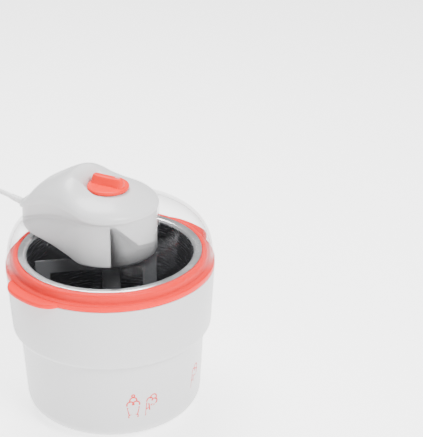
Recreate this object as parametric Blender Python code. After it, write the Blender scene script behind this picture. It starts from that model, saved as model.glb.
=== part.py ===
"""Small ice cream maker: jacket, collar, double-walled freezer bowl, clear lid and a lift-off drive unit.

Metres, +Z up. The origin is on the bowl's axis, on the surface that the rubber feet stand on.
The drive unit's arm points to the left and back, and the lid's pouring notch is at the front right.
"""
import bpy
import bmesh
from math import acos, cos, sin, pi, radians
from mathutils import Matrix, Vector

MM = 0.001
GAP = 0.3 * MM              # room kept between two pieces that touch
RUN = 0.2 * MM              # running clearance of a shaft in its bush
SIDES = 36                  # facets round the large turned pieces
SMALL_SIDES = 14            # facets round small turned pieces

# heights
FOOT_STAND = 2.3 * MM       # how far the feet stand proud of the jacket
RIM_Z = 169.0 * MM          # the bowl's rim, top face
COLLAR_H = 15.0 * MM        # from the collar's underside up to the rim
COLLAR_Z = RIM_Z - COLLAR_H
LEDGE_DROP = 9.0 * MM       # from the rim down to the ledge that the lid stands on
FLANGE_Z = RIM_Z - LEDGE_DROP
STEP_Z = 88.0 * MM          # underside of the jacket's overhang

# freezer bowl, whose radius sets the radii of all that stands round it
POT_TOP_R = 81.5 * MM
POT_TAPER = 4.5 * MM
POT_FOOT_R = POT_TOP_R - POT_TAPER
POT_FLOOR_Z = 48.0 * MM
POT_WALL = 1.4 * MM
POT_ROUND = 12.0 * MM
RIM_WIDTH = 9.1 * MM
RIM_R = POT_TOP_R + RIM_WIDTH
RIM_T = 1.6 * MM
SHELL_TOP_ROOM = 5.5 * MM   # from the bowl's inner face out to the shell's outer face, at the top
SHELL_FOOT_ROOM = 4.5 * MM
SHELL_TOP_R = POT_TOP_R + SHELL_TOP_ROOM
SHELL_FOOT_R = POT_FOOT_R + SHELL_FOOT_ROOM
SHELL_FLOOR_ROOM = 18.0 * MM
SHELL_FLOOR_Z = POT_FLOOR_Z - SHELL_FLOOR_ROOM
SHELL_WALL = 2.0 * MM
GASKET_H = 4.0 * MM
PLUG_R = 6.0 * MM

# jacket
LEDGE_WIDTH = 12.4 * MM     # from the bowl's rim out to the jacket's outer face
JACKET_TOP_R = RIM_R + LEDGE_WIDTH
JACKET_LEAN = 3.6 * MM
JACKET_STEP_R = JACKET_TOP_R - JACKET_LEAN
STEP_DEPTH = 7.3 * MM
JACKET_WAIST_R = JACKET_STEP_R - STEP_DEPTH
WAIST_TAPER = 3.9 * MM
JACKET_FOOT_R = JACKET_WAIST_R - WAIST_TAPER
JACKET_WALL = 2.6 * MM
JACKET_STEP_ROUND = 7.0 * MM
JACKET_FOOT_ROUND = 17.0 * MM
FLOOR_LEDGE = 26.2 * MM     # how far the jacket's floor reaches in from its foot
PLATE_HOLE_R = JACKET_FOOT_R - FLOOR_LEDGE
PLATE_T = 3.0 * MM
PLATE_LIP = 8.5 * MM        # how far the base plate reaches past the jacket's opening
FOOT_R = 8.0 * MM
FOOT_INSET = 12.0 * MM      # from the plate's opening in to the feet's circle
FOOT_CIRCLE_R = PLATE_HOLE_R - FOOT_INSET
SCREW_INSET = 4.5 * MM      # from the opening's edge out to the screws' circle
SCREW_CIRCLE_R = PLATE_HOLE_R + SCREW_INSET
SCREW_TURN = pi / SIDES
SCREW_R = 1.5 * MM
SCREW_HEAD_R = 3.0 * MM
SCREW_HEAD_H = 1.8 * MM

# collar
COLLAR_BAND = 6.4 * MM      # from the bowl's rim out to the collar's upright band
COLLAR_R = RIM_R + COLLAR_BAND
COLLAR_SKIRT_T = 2.0 * MM
COLLAR_SKIRT_H = 9.0 * MM
COLLAR_SEAT_DROP = 2.6 * MM
TAB_REACH = 11.0 * MM
TAB_R = JACKET_TOP_R + TAB_REACH
TAB_T = 5.0 * MM
TAB_HALF = radians(19)
TAB_AZIMUTHS = (radians(-134), radians(46))

# lid
LID_WALL = 1.8 * MM
# Each pair is mm in from the jacket's face and mm over the rim.
LID_PROFILE = ((0, -8.7), (1.4, -4), (2.3, 4), (4.1, 12), (8.2, 20.5), (13.4, 26.8), (20, 31.8),
               (29, 36.8), (41, 42.4), (51, 46.6))
WELL_GAP = 0.5 * MM
WELL_FLOOR_GAP = 0.8 * MM   # under the drive unit, whose sloping floor follows the well's
WELL_HOLE_R = 11.0 * MM
NOTCH_AZIMUTH = radians(-45)
NOTCH_INNER_HALF = radians(40)
NOTCH_OUTER_HALF = radians(19.5)
NOTCH_INSET = 4.5 * MM      # from the bowl's wall in to the notch's outer edge
NOTCH_R = POT_TOP_R - NOTCH_INSET
NOTCH_DEEP_Z = -3.5 * MM    # over the rim: lower edge of the notch's funnel
NOTCH_TAPER = 0.9          # funnel's lower outline against its upper outline

# drive unit: a drum on the bowl's axis with an arm
ARM_AZIMUTH = radians(157.4)
DRUM_R = 46.6 * MM
ARM_END_R = 27.5 * MM
ARM_LENGTH = 65.0 * MM      # from the drum's axis to the centre of the arm's round end
COVER_WALL = 2.4 * MM
LIP_OVERHANG = 2.2 * MM
LIP_FLARE = 0.4 * MM         # how much wider the upper cover is just above its lip
SEAT_R = 22.0 * MM
SEAT_FLARE = 11.0 * MM      # how far the dish round the knob opens out above its seat
SEAT_Z = 65.5 * MM          # over the rim: the flat that the switch knob turns on
KNOB_R = 20.5 * MM
KNOB_H = 3.6 * MM
KNOB_FIN_H = 9.5 * MM
KNOB_FIN_T = 10.0 * MM
KNOB_FIN_TURN = radians(-28)
SPINDLE_R = 3.0 * MM
SWITCH_DROP = 2.5 * MM      # the switch hangs this far under its seat

# gear train, heights over the rim
MODULE = 1.0 * MM
TEETH_PINION = 10
TEETH_WHEEL = 42
TEETH_IDLER = 12
TEETH_OUTPUT = 40
LOW_GEARS_Z = 13.0 * MM
GEAR_T = 4.4 * MM
GEAR_STEP = 1.0 * MM
DECK_T = 2.0 * MM
SHAFT_R = 4.0 * MM
AXLE_R = 2.0 * MM
ROTOR_SHAFT_R = 1.6 * MM
BUSH_R = 7.0 * MM
BUSH_FLANGE = 2.0 * MM
MOTOR_R = 16.5 * MM
MOTOR_H = 33.0 * MM
SHAFT_HEX_R = 5.0 * MM
SHAFT_FOOT_Z = -16.0 * MM

# paddle, heights over the rim
PADDLE_TOP_GAP = 2.0 * MM   # under the notch's funnel
PADDLE_TOP_Z = NOTCH_DEEP_Z - PADDLE_TOP_GAP
PADDLE_HUB_R = 9.0 * MM
PADDLE_WALL_GAP = 3.0 * MM
PADDLE_R = POT_FOOT_R - PADDLE_WALL_GAP
PADDLE_T = 3.0 * MM
PADDLE_FLOOR_GAP = 5.0 * MM
PADDLE_BAR_H = 15.0 * MM
PADDLE_LEG_W = 14.0 * MM
PADDLE_AZIMUTH = radians(190)

# mains lead
CORD_D = 5.0 * MM
RELIEF_LENGTH = 23.0 * MM
RELIEF_FLANGE_T = 1.8 * MM
RELIEF_R = 4.0 * MM
RELIEF_FLANGE_R = RELIEF_R + 1.2 * MM
RELIEF_TIP_R = 3.1 * MM
COIL_MEAN_R = 28.0 * MM
COIL_H = 11.0 * MM
COIL_W = 11.0 * MM
COIL_CENTRE = (-0.181, 0.106)
PLUG_CENTRE = (-0.181, 0.164)
PLUG_Z = 7.4 * MM            # height of the plug's middle as it lies on the floor
PIN_SPACING = 19.0 * MM
CORD_EXIT = (-0.1002, 0.0417, RIM_Z + 38.0 * MM)
CORD_AIM = (-0.1080, 0.0450, RIM_Z + 40.4 * MM)
CORD_ROUTE = (CORD_EXIT, CORD_AIM, (-0.1185, 0.0493, 0.2116),
              (-0.1320, 0.0550, 0.2110), (-0.1450, 0.0600, 0.2040), (-0.1550, 0.0640, 0.1880),
              (-0.1603, 0.0655, 0.1620), (-0.1630, 0.0660, 0.1280), (-0.1653, 0.0655, 0.0900),
              (-0.1680, 0.0630, 0.0520), (-0.1745, 0.0590, 0.0220), (-0.1850, 0.0500, 0.0075),
              (-0.1990, 0.0440, 0.0030), (-0.2130, 0.0460, 0.0026), (-0.2225, 0.0560, 0.0026),
              (-0.2255, 0.0690, 0.0026), (-0.2240, 0.0820, 0.0026), (-0.2195, 0.0905, 0.0026),
              (-0.2165, 0.0970, 0.0028))
TAIL_ROUTE = ((-0.2172, 0.1140, 0.0056), (-0.2182, 0.1230, 0.0040), (-0.2188, 0.1330, 0.0028),
              (-0.2182, 0.1440, 0.0027), (-0.2152, 0.1540, 0.0034), (-0.2080, 0.1622, 0.0058),
              (-0.1999, 0.1640, 0.0074))

ARM = Vector((cos(ARM_AZIMUTH), sin(ARM_AZIMUTH), 0))
SIDE = Vector((-ARM.y, ARM.x, 0))
AXLE_S = (TEETH_IDLER + TEETH_OUTPUT) / 2 * MODULE
MOTOR_S = AXLE_S + (TEETH_PINION + TEETH_WHEEL) / 2 * MODULE
HIGH_GEARS_Z = LOW_GEARS_Z + GEAR_T + GEAR_STEP
DECK_Z = HIGH_GEARS_Z + GEAR_T + GEAR_STEP
COLLAR_INNER_R = RIM_R + 0.6 * MM


# ---------------------------------------------------------------- helpers

def clear_scene():
    for ob in list(bpy.data.objects):
        bpy.data.objects.remove(ob, do_unlink=True)
    for block in (bpy.data.meshes, bpy.data.materials, bpy.data.curves):
        for item in list(block):
            block.remove(item)


def material(name, colour, roughness=0.45, metallic=0.0, alpha=1.0):
    mat = bpy.data.materials.get(name)
    if mat:
        return mat
    mat = bpy.data.materials.new(name)
    mat.use_nodes = True
    shader = mat.node_tree.nodes["Principled BSDF"]
    shader.inputs["Base Color"].default_value = (*colour, 1.0)
    shader.inputs["Roughness"].default_value = roughness
    shader.inputs["Metallic"].default_value = metallic
    shader.inputs["Alpha"].default_value = alpha
    mat.diffuse_color = (*colour, 1.0)
    return mat


def white():
    return material("white_plastic", (0.80, 0.80, 0.80), 0.3)


def coral():
    return material("coral_plastic", (0.86, 0.15, 0.13), 0.3)


def steel():
    return material("steel", (0.6, 0.6, 0.62), 0.3, 1.0)


def grey():
    return material("grey_plastic", (0.33, 0.34, 0.35), 0.5)


def nylon():
    return material("nylon", (0.75, 0.73, 0.66), 0.5)


def rubber():
    return material("rubber", (0.05, 0.05, 0.05), 0.8)


def add(name, bm, mat, at=None, cutter=False):
    """Makes an object from a bmesh; at is its origin, with the mesh kept where it is in the world."""
    bmesh.ops.recalc_face_normals(bm, faces=bm.faces)
    if cutter:
        bmesh.ops.triangulate(bm, faces=bm.faces)       # flat faces only, which a boolean needs
    mesh = bpy.data.meshes.new(name)
    if at is not None:
        bmesh.ops.translate(bm, vec=-Vector(at), verts=bm.verts)
    bm.to_mesh(mesh)
    bm.free()
    mesh.shade_smooth()
    mesh.set_sharp_from_angle(angle=radians(35))
    ob = bpy.data.objects.new(name, mesh)
    if at is not None:
        ob.location = at
    mesh.materials.append(mat)
    bpy.context.scene.collection.objects.link(ob)
    if cutter:
        ob.hide_render = True
        ob.display_type = "WIRE"
    return ob


def boolean(ob, tool, operation="DIFFERENCE"):
    mod = ob.modifiers.new(operation.lower() + "_" + tool.name, "BOOLEAN")
    mod.object = tool
    mod.operation = operation
    mod.solver = "EXACT"


def carve(ob, label, bm, mat, operation="DIFFERENCE"):
    """Cuts the solid bm out of an object, or joins it on."""
    boolean(ob, add(label, bm, mat, cutter=True), operation)


def loft(loops, closed=False):
    """Joins closed loops of points in turn. An open stack is capped; a closed one joins up."""
    bm = bmesh.new()
    rows = [[bm.verts.new(p) for p in loop] for loop in loops]
    pairs = list(zip(rows[:-1], rows[1:]))
    if closed:
        pairs.append((rows[-1], rows[0]))
    for low, high in pairs:
        n = len(low)
        for i in range(n):
            j = (i + 1) % n
            bm.faces.new((low[i], low[j], high[j], high[i]))
    if not closed:
        bm.faces.new(rows[0])
        bm.faces.new(rows[-1])
    return bm


def ring_points(radius, z, sides, centre=(0, 0), turn=0.0):
    step = 2 * pi / sides
    angles = [turn + i * step for i in range(sides)]
    return [Vector((centre[0] + radius * cos(a), centre[1] + radius * sin(a), z)) for a in angles]


def turned(profile, sides=SIDES, centre=(0, 0), hollow=False):
    """A turned solid from (radius, z) points. A hollow profile is a closed outline that misses the axis."""
    return loft([ring_points(r, z, sides, centre) for r, z in profile], closed=hollow)


def rod(radius, low, high, centre=(0, 0), sides=SMALL_SIDES):
    return turned([(radius, low), (radius, high)], sides, centre)


def tube(outer, inner, low, high, centre=(0, 0), sides=SMALL_SIDES):
    return turned([(outer, low), (outer, high), (inner, high), (inner, low)], sides, centre, hollow=True)


def arc(radius_centre, z_centre, radius, start, end, steps):
    """Points on a quarter round of a turned profile, from the start angle to the end angle."""
    return [(radius_centre + radius * cos(start + (end - start) * k / steps),
             z_centre + radius * sin(start + (end - start) * k / steps)) for k in range(steps + 1)]


def block(low, high, turn=None):
    """A box between two corners; turn is a matrix that then places it."""
    bm = bmesh.new()
    bmesh.ops.create_cube(bm, size=1.0)
    size = Vector(high) - Vector(low)
    bmesh.ops.scale(bm, vec=size, verts=bm.verts)
    bmesh.ops.translate(bm, vec=(Vector(high) + Vector(low)) / 2, verts=bm.verts)
    if turn is not None:
        bmesh.ops.transform(bm, matrix=turn, verts=bm.verts)
    return bm


def arm_point(s, t=0.0, z=0.0):
    """A point s along the arm, t to its side, z over the floor."""
    return ARM * s + SIDE * t + Vector((0, 0, z))


def curve_at(x, points):
    """Height at x on a smooth curve that runs through (place, height) pairs."""
    if x <= points[0][0]:
        return points[0][1]
    if x >= points[-1][0]:
        return points[-1][1]
    k = max(i for i in range(len(points) - 1) if points[i][0] <= x)

    def slope(i):
        a, b = points[max(i - 1, 0)], points[min(i + 1, len(points) - 1)]
        return (b[1] - a[1]) / (b[0] - a[0])

    (x0, y0), (x1, y1) = points[k], points[k + 1]
    w = x1 - x0
    t = (x - x0) / w
    return ((2 * t ** 3 - 3 * t * t + 1) * y0 + (t ** 3 - 2 * t * t + t) * w * slope(k)
            + (3 * t * t - 2 * t ** 3) * y1 + (t ** 3 - t * t) * w * slope(k + 1))


# ---------------------------------------------------------------- jacket and feet

def plate_z():
    return FOOT_STAND + JACKET_WALL + GAP


def screw(name, shank_end, head_low, head_high, centre):
    """A pan-head screw that points up, or down where its shank ends below its head."""
    under, crown = (head_high, head_low) if shank_end > head_high else (head_low, head_high)
    profile = [(SCREW_HEAD_R * 0.8, crown), (SCREW_HEAD_R, crown + (under - crown) * 0.3),
               (SCREW_HEAD_R, under), (SCREW_R, under), (SCREW_R, shank_end)]
    return add(name, turned(profile, 12, centre), steel())


def outer_housing():
    foot = FOOT_STAND
    rnd, wall = JACKET_FOOT_ROUND, JACKET_WALL
    top = COLLAR_Z - GAP
    step = JACKET_STEP_ROUND
    profile = [(JACKET_TOP_R - wall, top), (JACKET_TOP_R - 0.6 * MM, top), (JACKET_TOP_R, top - 0.6 * MM)]
    profile += arc(JACKET_STEP_R - step, STEP_Z + step, step, 0, -pi / 2, 4)
    profile += [(JACKET_WAIST_R, STEP_Z - 0.8 * MM)]
    profile += arc(JACKET_FOOT_R - rnd, foot + rnd, rnd, 0, -pi / 2, 5)
    profile += [(PLATE_HOLE_R, foot), (PLATE_HOLE_R, foot + wall)]
    profile += arc(JACKET_FOOT_R - rnd, foot + rnd, rnd - wall, -pi / 2, 0, 4)
    profile += [(JACKET_WAIST_R - wall, STEP_Z - wall), (JACKET_WAIST_R - wall, STEP_Z + wall),
                (JACKET_STEP_R - wall, STEP_Z + step + wall)]
    jacket = add("outer_housing", turned(profile, hollow=True), white())
    for k in range(4):
        place = at_angle(SCREW_CIRCLE_R, SCREW_TURN + k * pi / 2)
        cut = rod(SCREW_R + RUN, foot - 1 * MM, foot + 2 * wall, place, 12)
        carve(jacket, f"cut_jacket_{k}", cut, steel())
        sink = rod(SCREW_HEAD_R + GAP, foot - 1 * MM, foot + SCREW_HEAD_H, place, 12)
        carve(jacket, f"cut_head_{k}", sink, steel())


def at_angle(radius, angle):
    return (radius * cos(angle), radius * sin(angle))


def base_plate():
    low = plate_z()
    plate = add("base_plate", rod(PLATE_HOLE_R + PLATE_LIP, low, low + PLATE_T, sides=SIDES), grey())
    for k in range(4):
        place = at_angle(SCREW_CIRCLE_R, SCREW_TURN + k * pi / 2)
        cut = rod(SCREW_R + RUN, low - 1 * MM, low + PLATE_T + 1 * MM, place, 12)
        carve(plate, f"cut_plate_{k}", cut, steel())
        head = FOOT_STAND + 0.1 * MM
        screw(f"base_screw_{k + 1}", low + PLATE_T, head, head + SCREW_HEAD_H - GAP, place)
        spot = at_angle(FOOT_CIRCLE_R, pi / 4 + k * pi / 2)
        hole = rod(FOOT_R * 0.4 + GAP, low - 1 * MM, low + PLATE_T + 1 * MM, spot, 12)
        carve(plate, f"cut_foot_{k}", hole, steel())
        stem = [(FOOT_R - 1 * MM, 0), (FOOT_R, 1 * MM), (FOOT_R, low - GAP), (FOOT_R * 0.4, low - GAP),
                (FOOT_R * 0.4, low + PLATE_T + 0.8 * MM)]
        add(f"rubber_foot_{k + 1}", turned(stem, 14, spot), rubber())


# ---------------------------------------------------------------- collar

def collar_ring():
    seat = RIM_Z - RIM_T - GAP
    wall = 2.2 * MM
    lean = (JACKET_TOP_R - JACKET_STEP_R) / (COLLAR_Z - STEP_Z - JACKET_STEP_ROUND - JACKET_WALL)
    skirt = JACKET_TOP_R - JACKET_WALL - 0.5 * MM - lean * COLLAR_SKIRT_H
    low, ledge, top = COLLAR_Z, FLANGE_Z, RIM_Z - 0.5 * MM
    profile = [(JACKET_TOP_R, low), (JACKET_TOP_R, ledge - 1.2 * MM), (JACKET_TOP_R - 0.5 * MM, ledge),
               (COLLAR_R + 0.4 * MM, ledge), (COLLAR_R, ledge + 0.6 * MM),
               (COLLAR_R - 0.4 * MM, top - 3.4 * MM), (COLLAR_R - 1.4 * MM, top - 1.2 * MM),
               (COLLAR_R - 3.2 * MM, top), (COLLAR_INNER_R + 0.5 * MM, top),
               (COLLAR_INNER_R, top - 0.5 * MM), (COLLAR_INNER_R, seat), (SHELL_TOP_R + 1.4 * MM, seat),
               (SHELL_TOP_R + 1.4 * MM, low + 2 * wall), (SHELL_TOP_R + 1.4 * MM + wall, low + 2 * wall),
               (SHELL_TOP_R + 1.4 * MM + wall, seat - wall - COLLAR_SEAT_DROP),
               (COLLAR_R - wall, seat - wall - COLLAR_SEAT_DROP), (COLLAR_R - wall, low + wall),
               (skirt - COLLAR_SKIRT_T, low), (skirt - COLLAR_SKIRT_T, low - COLLAR_SKIRT_H),
               (skirt, low - COLLAR_SKIRT_H), (skirt, low)]
    ring = add("collar_ring", turned(profile, hollow=True), coral())
    for k, azimuth in enumerate(TAB_AZIMUTHS):
        boolean(ring, tab_solid(f"tab_{k}", azimuth), "UNION")


def tab_solid(name, azimuth):
    """A finger tab: a crescent whose ends run into the collar's flange."""
    low, high = COLLAR_Z + 0.01 * MM, COLLAR_Z + TAB_T
    steps = 14
    inner = JACKET_TOP_R - 2.5 * MM

    def outline(grow, z):
        loop = []
        for i in range(steps + 1):
            k = i / steps * 2 - 1
            reach = JACKET_TOP_R + (TAB_R + grow - JACKET_TOP_R) * (1 - k ** 4) ** 0.7 - 0.4 * MM * k ** 4
            angle = azimuth + k * TAB_HALF
            loop.append(Vector((reach * cos(angle), reach * sin(angle), z)))
        for i in range(steps, -1, -1):
            angle = azimuth + (i / steps * 2 - 1) * TAB_HALF
            loop.append(Vector((inner * cos(angle), inner * sin(angle), z)))
        return loop

    rows = [outline(-1.6 * MM, low), outline(0, low + 1.4 * MM), outline(0, high - 1.6 * MM),
            outline(-1.8 * MM, high)]
    bm = bmesh.new()
    verts = [[bm.verts.new(p) for p in row] for row in rows]
    n = len(verts[0])
    for a, b in zip(verts[:-1], verts[1:]):
        for i in range(n):
            bm.faces.new((a[i], a[(i + 1) % n], b[(i + 1) % n], b[i]))
    for row in (verts[0], verts[-1]):
        for i in range(steps):
            bm.faces.new((row[i], row[i + 1], row[n - 2 - i], row[n - 1 - i]))
    return add(name, bm, coral(), cutter=True)


# ---------------------------------------------------------------- freezer bowl

def cup(top_r, foot_r, floor_z, top_z, wall, rnd, core=6 * MM):
    """Inner and outer walls of a round cup, as two lists from the axis to its top edge."""
    def side(grow):
        radius = rnd + grow
        path = [(core, floor_z - grow)]
        path += arc(foot_r - rnd, floor_z + rnd, radius, -pi / 2, 0, 4)
        path += [(top_r + grow, top_z)]
        return path
    return side(0), side(wall)


def freezer_bowl():
    flange_low = RIM_Z - RIM_T
    inner, outer = cup(POT_TOP_R, POT_FOOT_R, POT_FLOOR_Z, RIM_Z - 3.0 * MM, POT_WALL, POT_ROUND)
    rim = [(POT_TOP_R + 1.6 * MM, RIM_Z - 0.5 * MM), (POT_TOP_R + 3.2 * MM, RIM_Z),
           (RIM_R - 0.8 * MM, RIM_Z), (RIM_R, RIM_Z - 0.5 * MM), (RIM_R, flange_low),
           (POT_TOP_R + POT_WALL + 1.0 * MM, flange_low)]
    aluminium = material("aluminium", (0.75, 0.76, 0.77), 0.25, 1.0)
    add("inner_bowl", turned(inner + rim + outer[::-1]), aluminium)

    gasket_low = flange_low - GAP - GASKET_H
    gasket_in_r = POT_TOP_R + POT_WALL + 1.2 * MM
    add("bowl_gasket", tube(SHELL_TOP_R, gasket_in_r, gasket_low, flange_low - GAP, sides=SIDES), rubber())

    top = gasket_low - GAP
    rnd = POT_ROUND
    inside, outside = cup(SHELL_TOP_R - SHELL_WALL, SHELL_FOOT_R - SHELL_WALL, SHELL_FLOOR_Z + SHELL_WALL,
                          top, SHELL_WALL, rnd)
    shell = add("bowl_shell", turned(inside + outside[::-1]), grey())
    hole = rod(PLUG_R, SHELL_FLOOR_Z - 1 * MM, SHELL_FLOOR_Z + 2 * SHELL_WALL)
    carve(shell, "cut_fill_hole", hole, steel())
    stopper = [(PLUG_R + 2 * MM, SHELL_FLOOR_Z - 2 * MM), (PLUG_R + 2 * MM, SHELL_FLOOR_Z - GAP),
               (PLUG_R - GAP, SHELL_FLOOR_Z - GAP), (PLUG_R - GAP, SHELL_FLOOR_Z + SHELL_WALL)]
    add("fill_plug", turned(stopper, SMALL_SIDES), rubber())

    level = top - 4 * MM
    lean = (level - POT_FLOOR_Z) / (RIM_Z - 3.0 * MM - POT_FLOOR_Z)
    skin = POT_WALL + GAP
    gel_in = cup(POT_FOOT_R + (POT_TOP_R - POT_FOOT_R) * lean + skin, POT_FOOT_R + skin,
                 POT_FLOOR_Z - skin, level, 0, POT_ROUND + skin)[0]
    gel_out = cup(SHELL_TOP_R - SHELL_WALL - GAP - 0.1 * MM, SHELL_FOOT_R - SHELL_WALL - GAP,
                  SHELL_FLOOR_Z + SHELL_WALL + GAP, level, 0, rnd - GAP)[0]
    add("coolant_gel", turned(gel_in + gel_out[::-1]), material("coolant", (0.25, 0.5, 0.75), 0.4))


# ---------------------------------------------------------------- shapes of the drive unit

# Each pair is mm along the arm and mm over the rim.
FLOOR_LINE = ((-50, 1.5), (0, 1.5), (14, 1.5), (26, 5.5), (47, 10.5), (76, 14.5), (95, 20))
LIP_LINE = ((-50, 48.3), (-4, 48.6), (18, 53.6), (40, 56), (58, 52), (80, 41), (95, 33))
CROWN_LINE = ((-50, 55), (-44, 59), (-22, 64.5), (4, 67), (14, 71), (22, 77.3), (29, 80.3), (36, 79.8),
              (45, 76.3),
              (57, 70), (68, 63.5), (76, 57), (83, 49.5), (88, 42), (95, 37))


def line_z(line, s):
    """World height of one of the drive unit's lines at a place s (metres) along the arm."""
    return RIM_Z + curve_at(s / MM, line) * MM


def drop_outline(end_steps=12, side_steps=5, drum_steps=16):
    """Round the drive unit's plan: for each point its foot on the spine, its radius and its direction.

    The first point is the tip of the arm and the plan is the same on both sides of it.
    """
    tilt = acos((DRUM_R - ARM_END_R) / ARM_LENGTH)
    points = [(ARM_LENGTH, ARM_END_R, tilt * i / (end_steps / 2)) for i in range(end_steps // 2)]
    for i in range(side_steps + 1):
        k = i / side_steps
        points.append((ARM_LENGTH * (1 - k), ARM_END_R + (DRUM_R - ARM_END_R) * k, tilt))
    half = drum_steps // 2
    points += [(0.0, DRUM_R, tilt + (pi - tilt) * i / half) for i in range(1, half + 1)]
    return points + [(s, r, -a) for s, r, a in points[-2:0:-1]]


def drop_ring(height, offset=0.0, share=1.0):
    """One loop of the plan. offset moves it out and share pulls it in to the spine."""
    loop = []
    for s, r, a in drop_outline():
        reach = r * share + offset
        spot = (s + reach * cos(a), reach * sin(a))
        z = height(spot[0], s + r * cos(a)) if callable(height) else height
        loop.append(arm_point(spot[0], spot[1], z))
    return loop


def drop_solid(rows):
    """A stack of loops of the plan, each closed across its spine at both ends of the stack."""
    bm = bmesh.new()
    verts = [[bm.verts.new(p) for p in row] for row in rows]
    n = len(verts[0])
    for a, b in zip(verts[:-1], verts[1:]):
        for i in range(n):
            bm.faces.new((a[i], a[(i + 1) % n], b[(i + 1) % n], b[i]))
    for row in (verts[0], verts[-1]):
        half = n // 2
        bm.faces.new((row[0], row[1], row[n - 1]))
        for i in range(1, half - 1):
            bm.faces.new((row[i], row[i + 1], row[n - i - 1], row[n - i]))
        bm.faces.new((row[half - 1], row[half], row[half + 1]))
    return bm


def floor_height(extra=0.0):
    return lambda s, edge: line_z(FLOOR_LINE, s) + extra


def lip_height(extra=0.0):
    return lambda s, edge: line_z(LIP_LINE, edge) + extra


def crown_height(share, sink=0.0):
    """Height of the crown's loops: from the lip at the edge up to the crown line over the spine."""
    rise = (1 - share ** 3.0) ** 0.6

    def height(s, edge):
        low = line_z(LIP_LINE, edge) + 4 * MM
        return low + max(line_z(CROWN_LINE, s) - low, 0.5 * MM) * rise - sink
    return height


CROWN_SHARES = (0.97, 0.9, 0.78, 0.6, 0.38, 0.14)


def upper_rows():
    rows = [drop_ring(lip_height(GAP), LIP_OVERHANG),
            drop_ring(lip_height(2.6 * MM), LIP_OVERHANG + LIP_FLARE)]
    rows += [drop_ring(crown_height(c), LIP_OVERHANG * c, c) for c in CROWN_SHARES]
    return rows


# ---------------------------------------------------------------- clear lid

def lid_outline(grow, low):
    """The dome as a solid, from its foot to its crown, made smaller by grow."""
    profile = [(JACKET_TOP_R - grow, low)] if grow else []
    for inset, z in LID_PROFILE:
        drop = grow * min(1, max(0, (z - 4) / 22))      # the wall turns level towards the crown
        profile.append((JACKET_TOP_R - inset * MM - grow, RIM_Z + z * MM - drop))
    last_r, last_z = profile[-1]
    return turned(profile + [(last_r * 0.8, last_z + 0.7 * MM)])


def notch_ring(z, share, grow=0.0):
    """The pouring notch's outline: a blunt wedge that narrows outwards from the drum."""
    near, far = (DRUM_R + 1.2 * MM - grow), (NOTCH_R * share + grow)
    inner_half = NOTCH_INNER_HALF * (1 + grow / (30 * MM))
    outer_half = NOTCH_OUTER_HALF * (1 + grow / (26 * MM))
    loop = [Vector((*at_angle(near, NOTCH_AZIMUTH + inner_half * k / 3), z)) for k in range(-3, 4)]
    loop += [Vector((*at_angle(far, NOTCH_AZIMUTH - outer_half * k / 3), z)) for k in range(-3, 4)]
    return loop


def clear_lid():
    clear = material("clear_plastic", (0.9, 0.93, 0.95), 0.05, 0.0, 0.3)
    foot = RIM_Z + LID_PROFILE[0][1] * MM
    lid = add("clear_lid", lid_outline(0, foot), clear)
    inside = add("cut_lid_inside", lid_outline(LID_WALL, foot - 4 * MM), clear, cutter=True)
    sky = RIM_Z + 70 * MM
    wide = WELL_GAP + LID_WALL
    well_out = [drop_ring(floor_height(-WELL_FLOOR_GAP - LID_WALL), wide), drop_ring(sky, wide)]
    carve(inside, "keep_well", drop_solid(well_out), clear)
    low, high = RIM_Z + NOTCH_DEEP_Z, RIM_Z + 60 * MM
    keep = loft([notch_ring(low, NOTCH_TAPER, LID_WALL), notch_ring(high, 1.0, LID_WALL)])
    carve(inside, "keep_notch", keep, clear)
    boolean(lid, inside)
    well_in = [drop_ring(floor_height(-WELL_FLOOR_GAP), WELL_GAP), drop_ring(sky, WELL_GAP)]
    carve(lid, "cut_well", drop_solid(well_in), clear)
    over_lip = LIP_OVERHANG + LIP_FLARE + WELL_GAP
    lip_room = [drop_ring(lip_height(-WELL_GAP), over_lip), drop_ring(sky, over_lip)]
    carve(lid, "cut_lip_room", drop_solid(lip_room), clear)
    open_notch = loft([notch_ring(low - 2 * MM, NOTCH_TAPER), notch_ring(high + 2 * MM, 1.0)])
    carve(lid, "cut_notch", open_notch, clear)
    hole = rod(WELL_HOLE_R, RIM_Z - 12 * MM, RIM_Z + 12 * MM, sides=24)
    carve(lid, "cut_well_hole", hole, clear)
    boolean(lid, relief_slot("cut_lid_slot"))


# ---------------------------------------------------------------- drive unit covers

DECK_POSTS = ((-33, 0), (39, 26), (39, -26))        # mm along and beside the arm
COVER_POSTS = ((-14, 34), (-14, -34), (80, 0))
POST_R = 4.0 * MM
SCREW_SINK = 3.4 * MM        # how far the cover screws' heads sit up inside the floor


def post_spot(pair):
    spot = arm_point(pair[0] * MM, pair[1] * MM)
    return (spot.x, spot.y)


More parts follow.
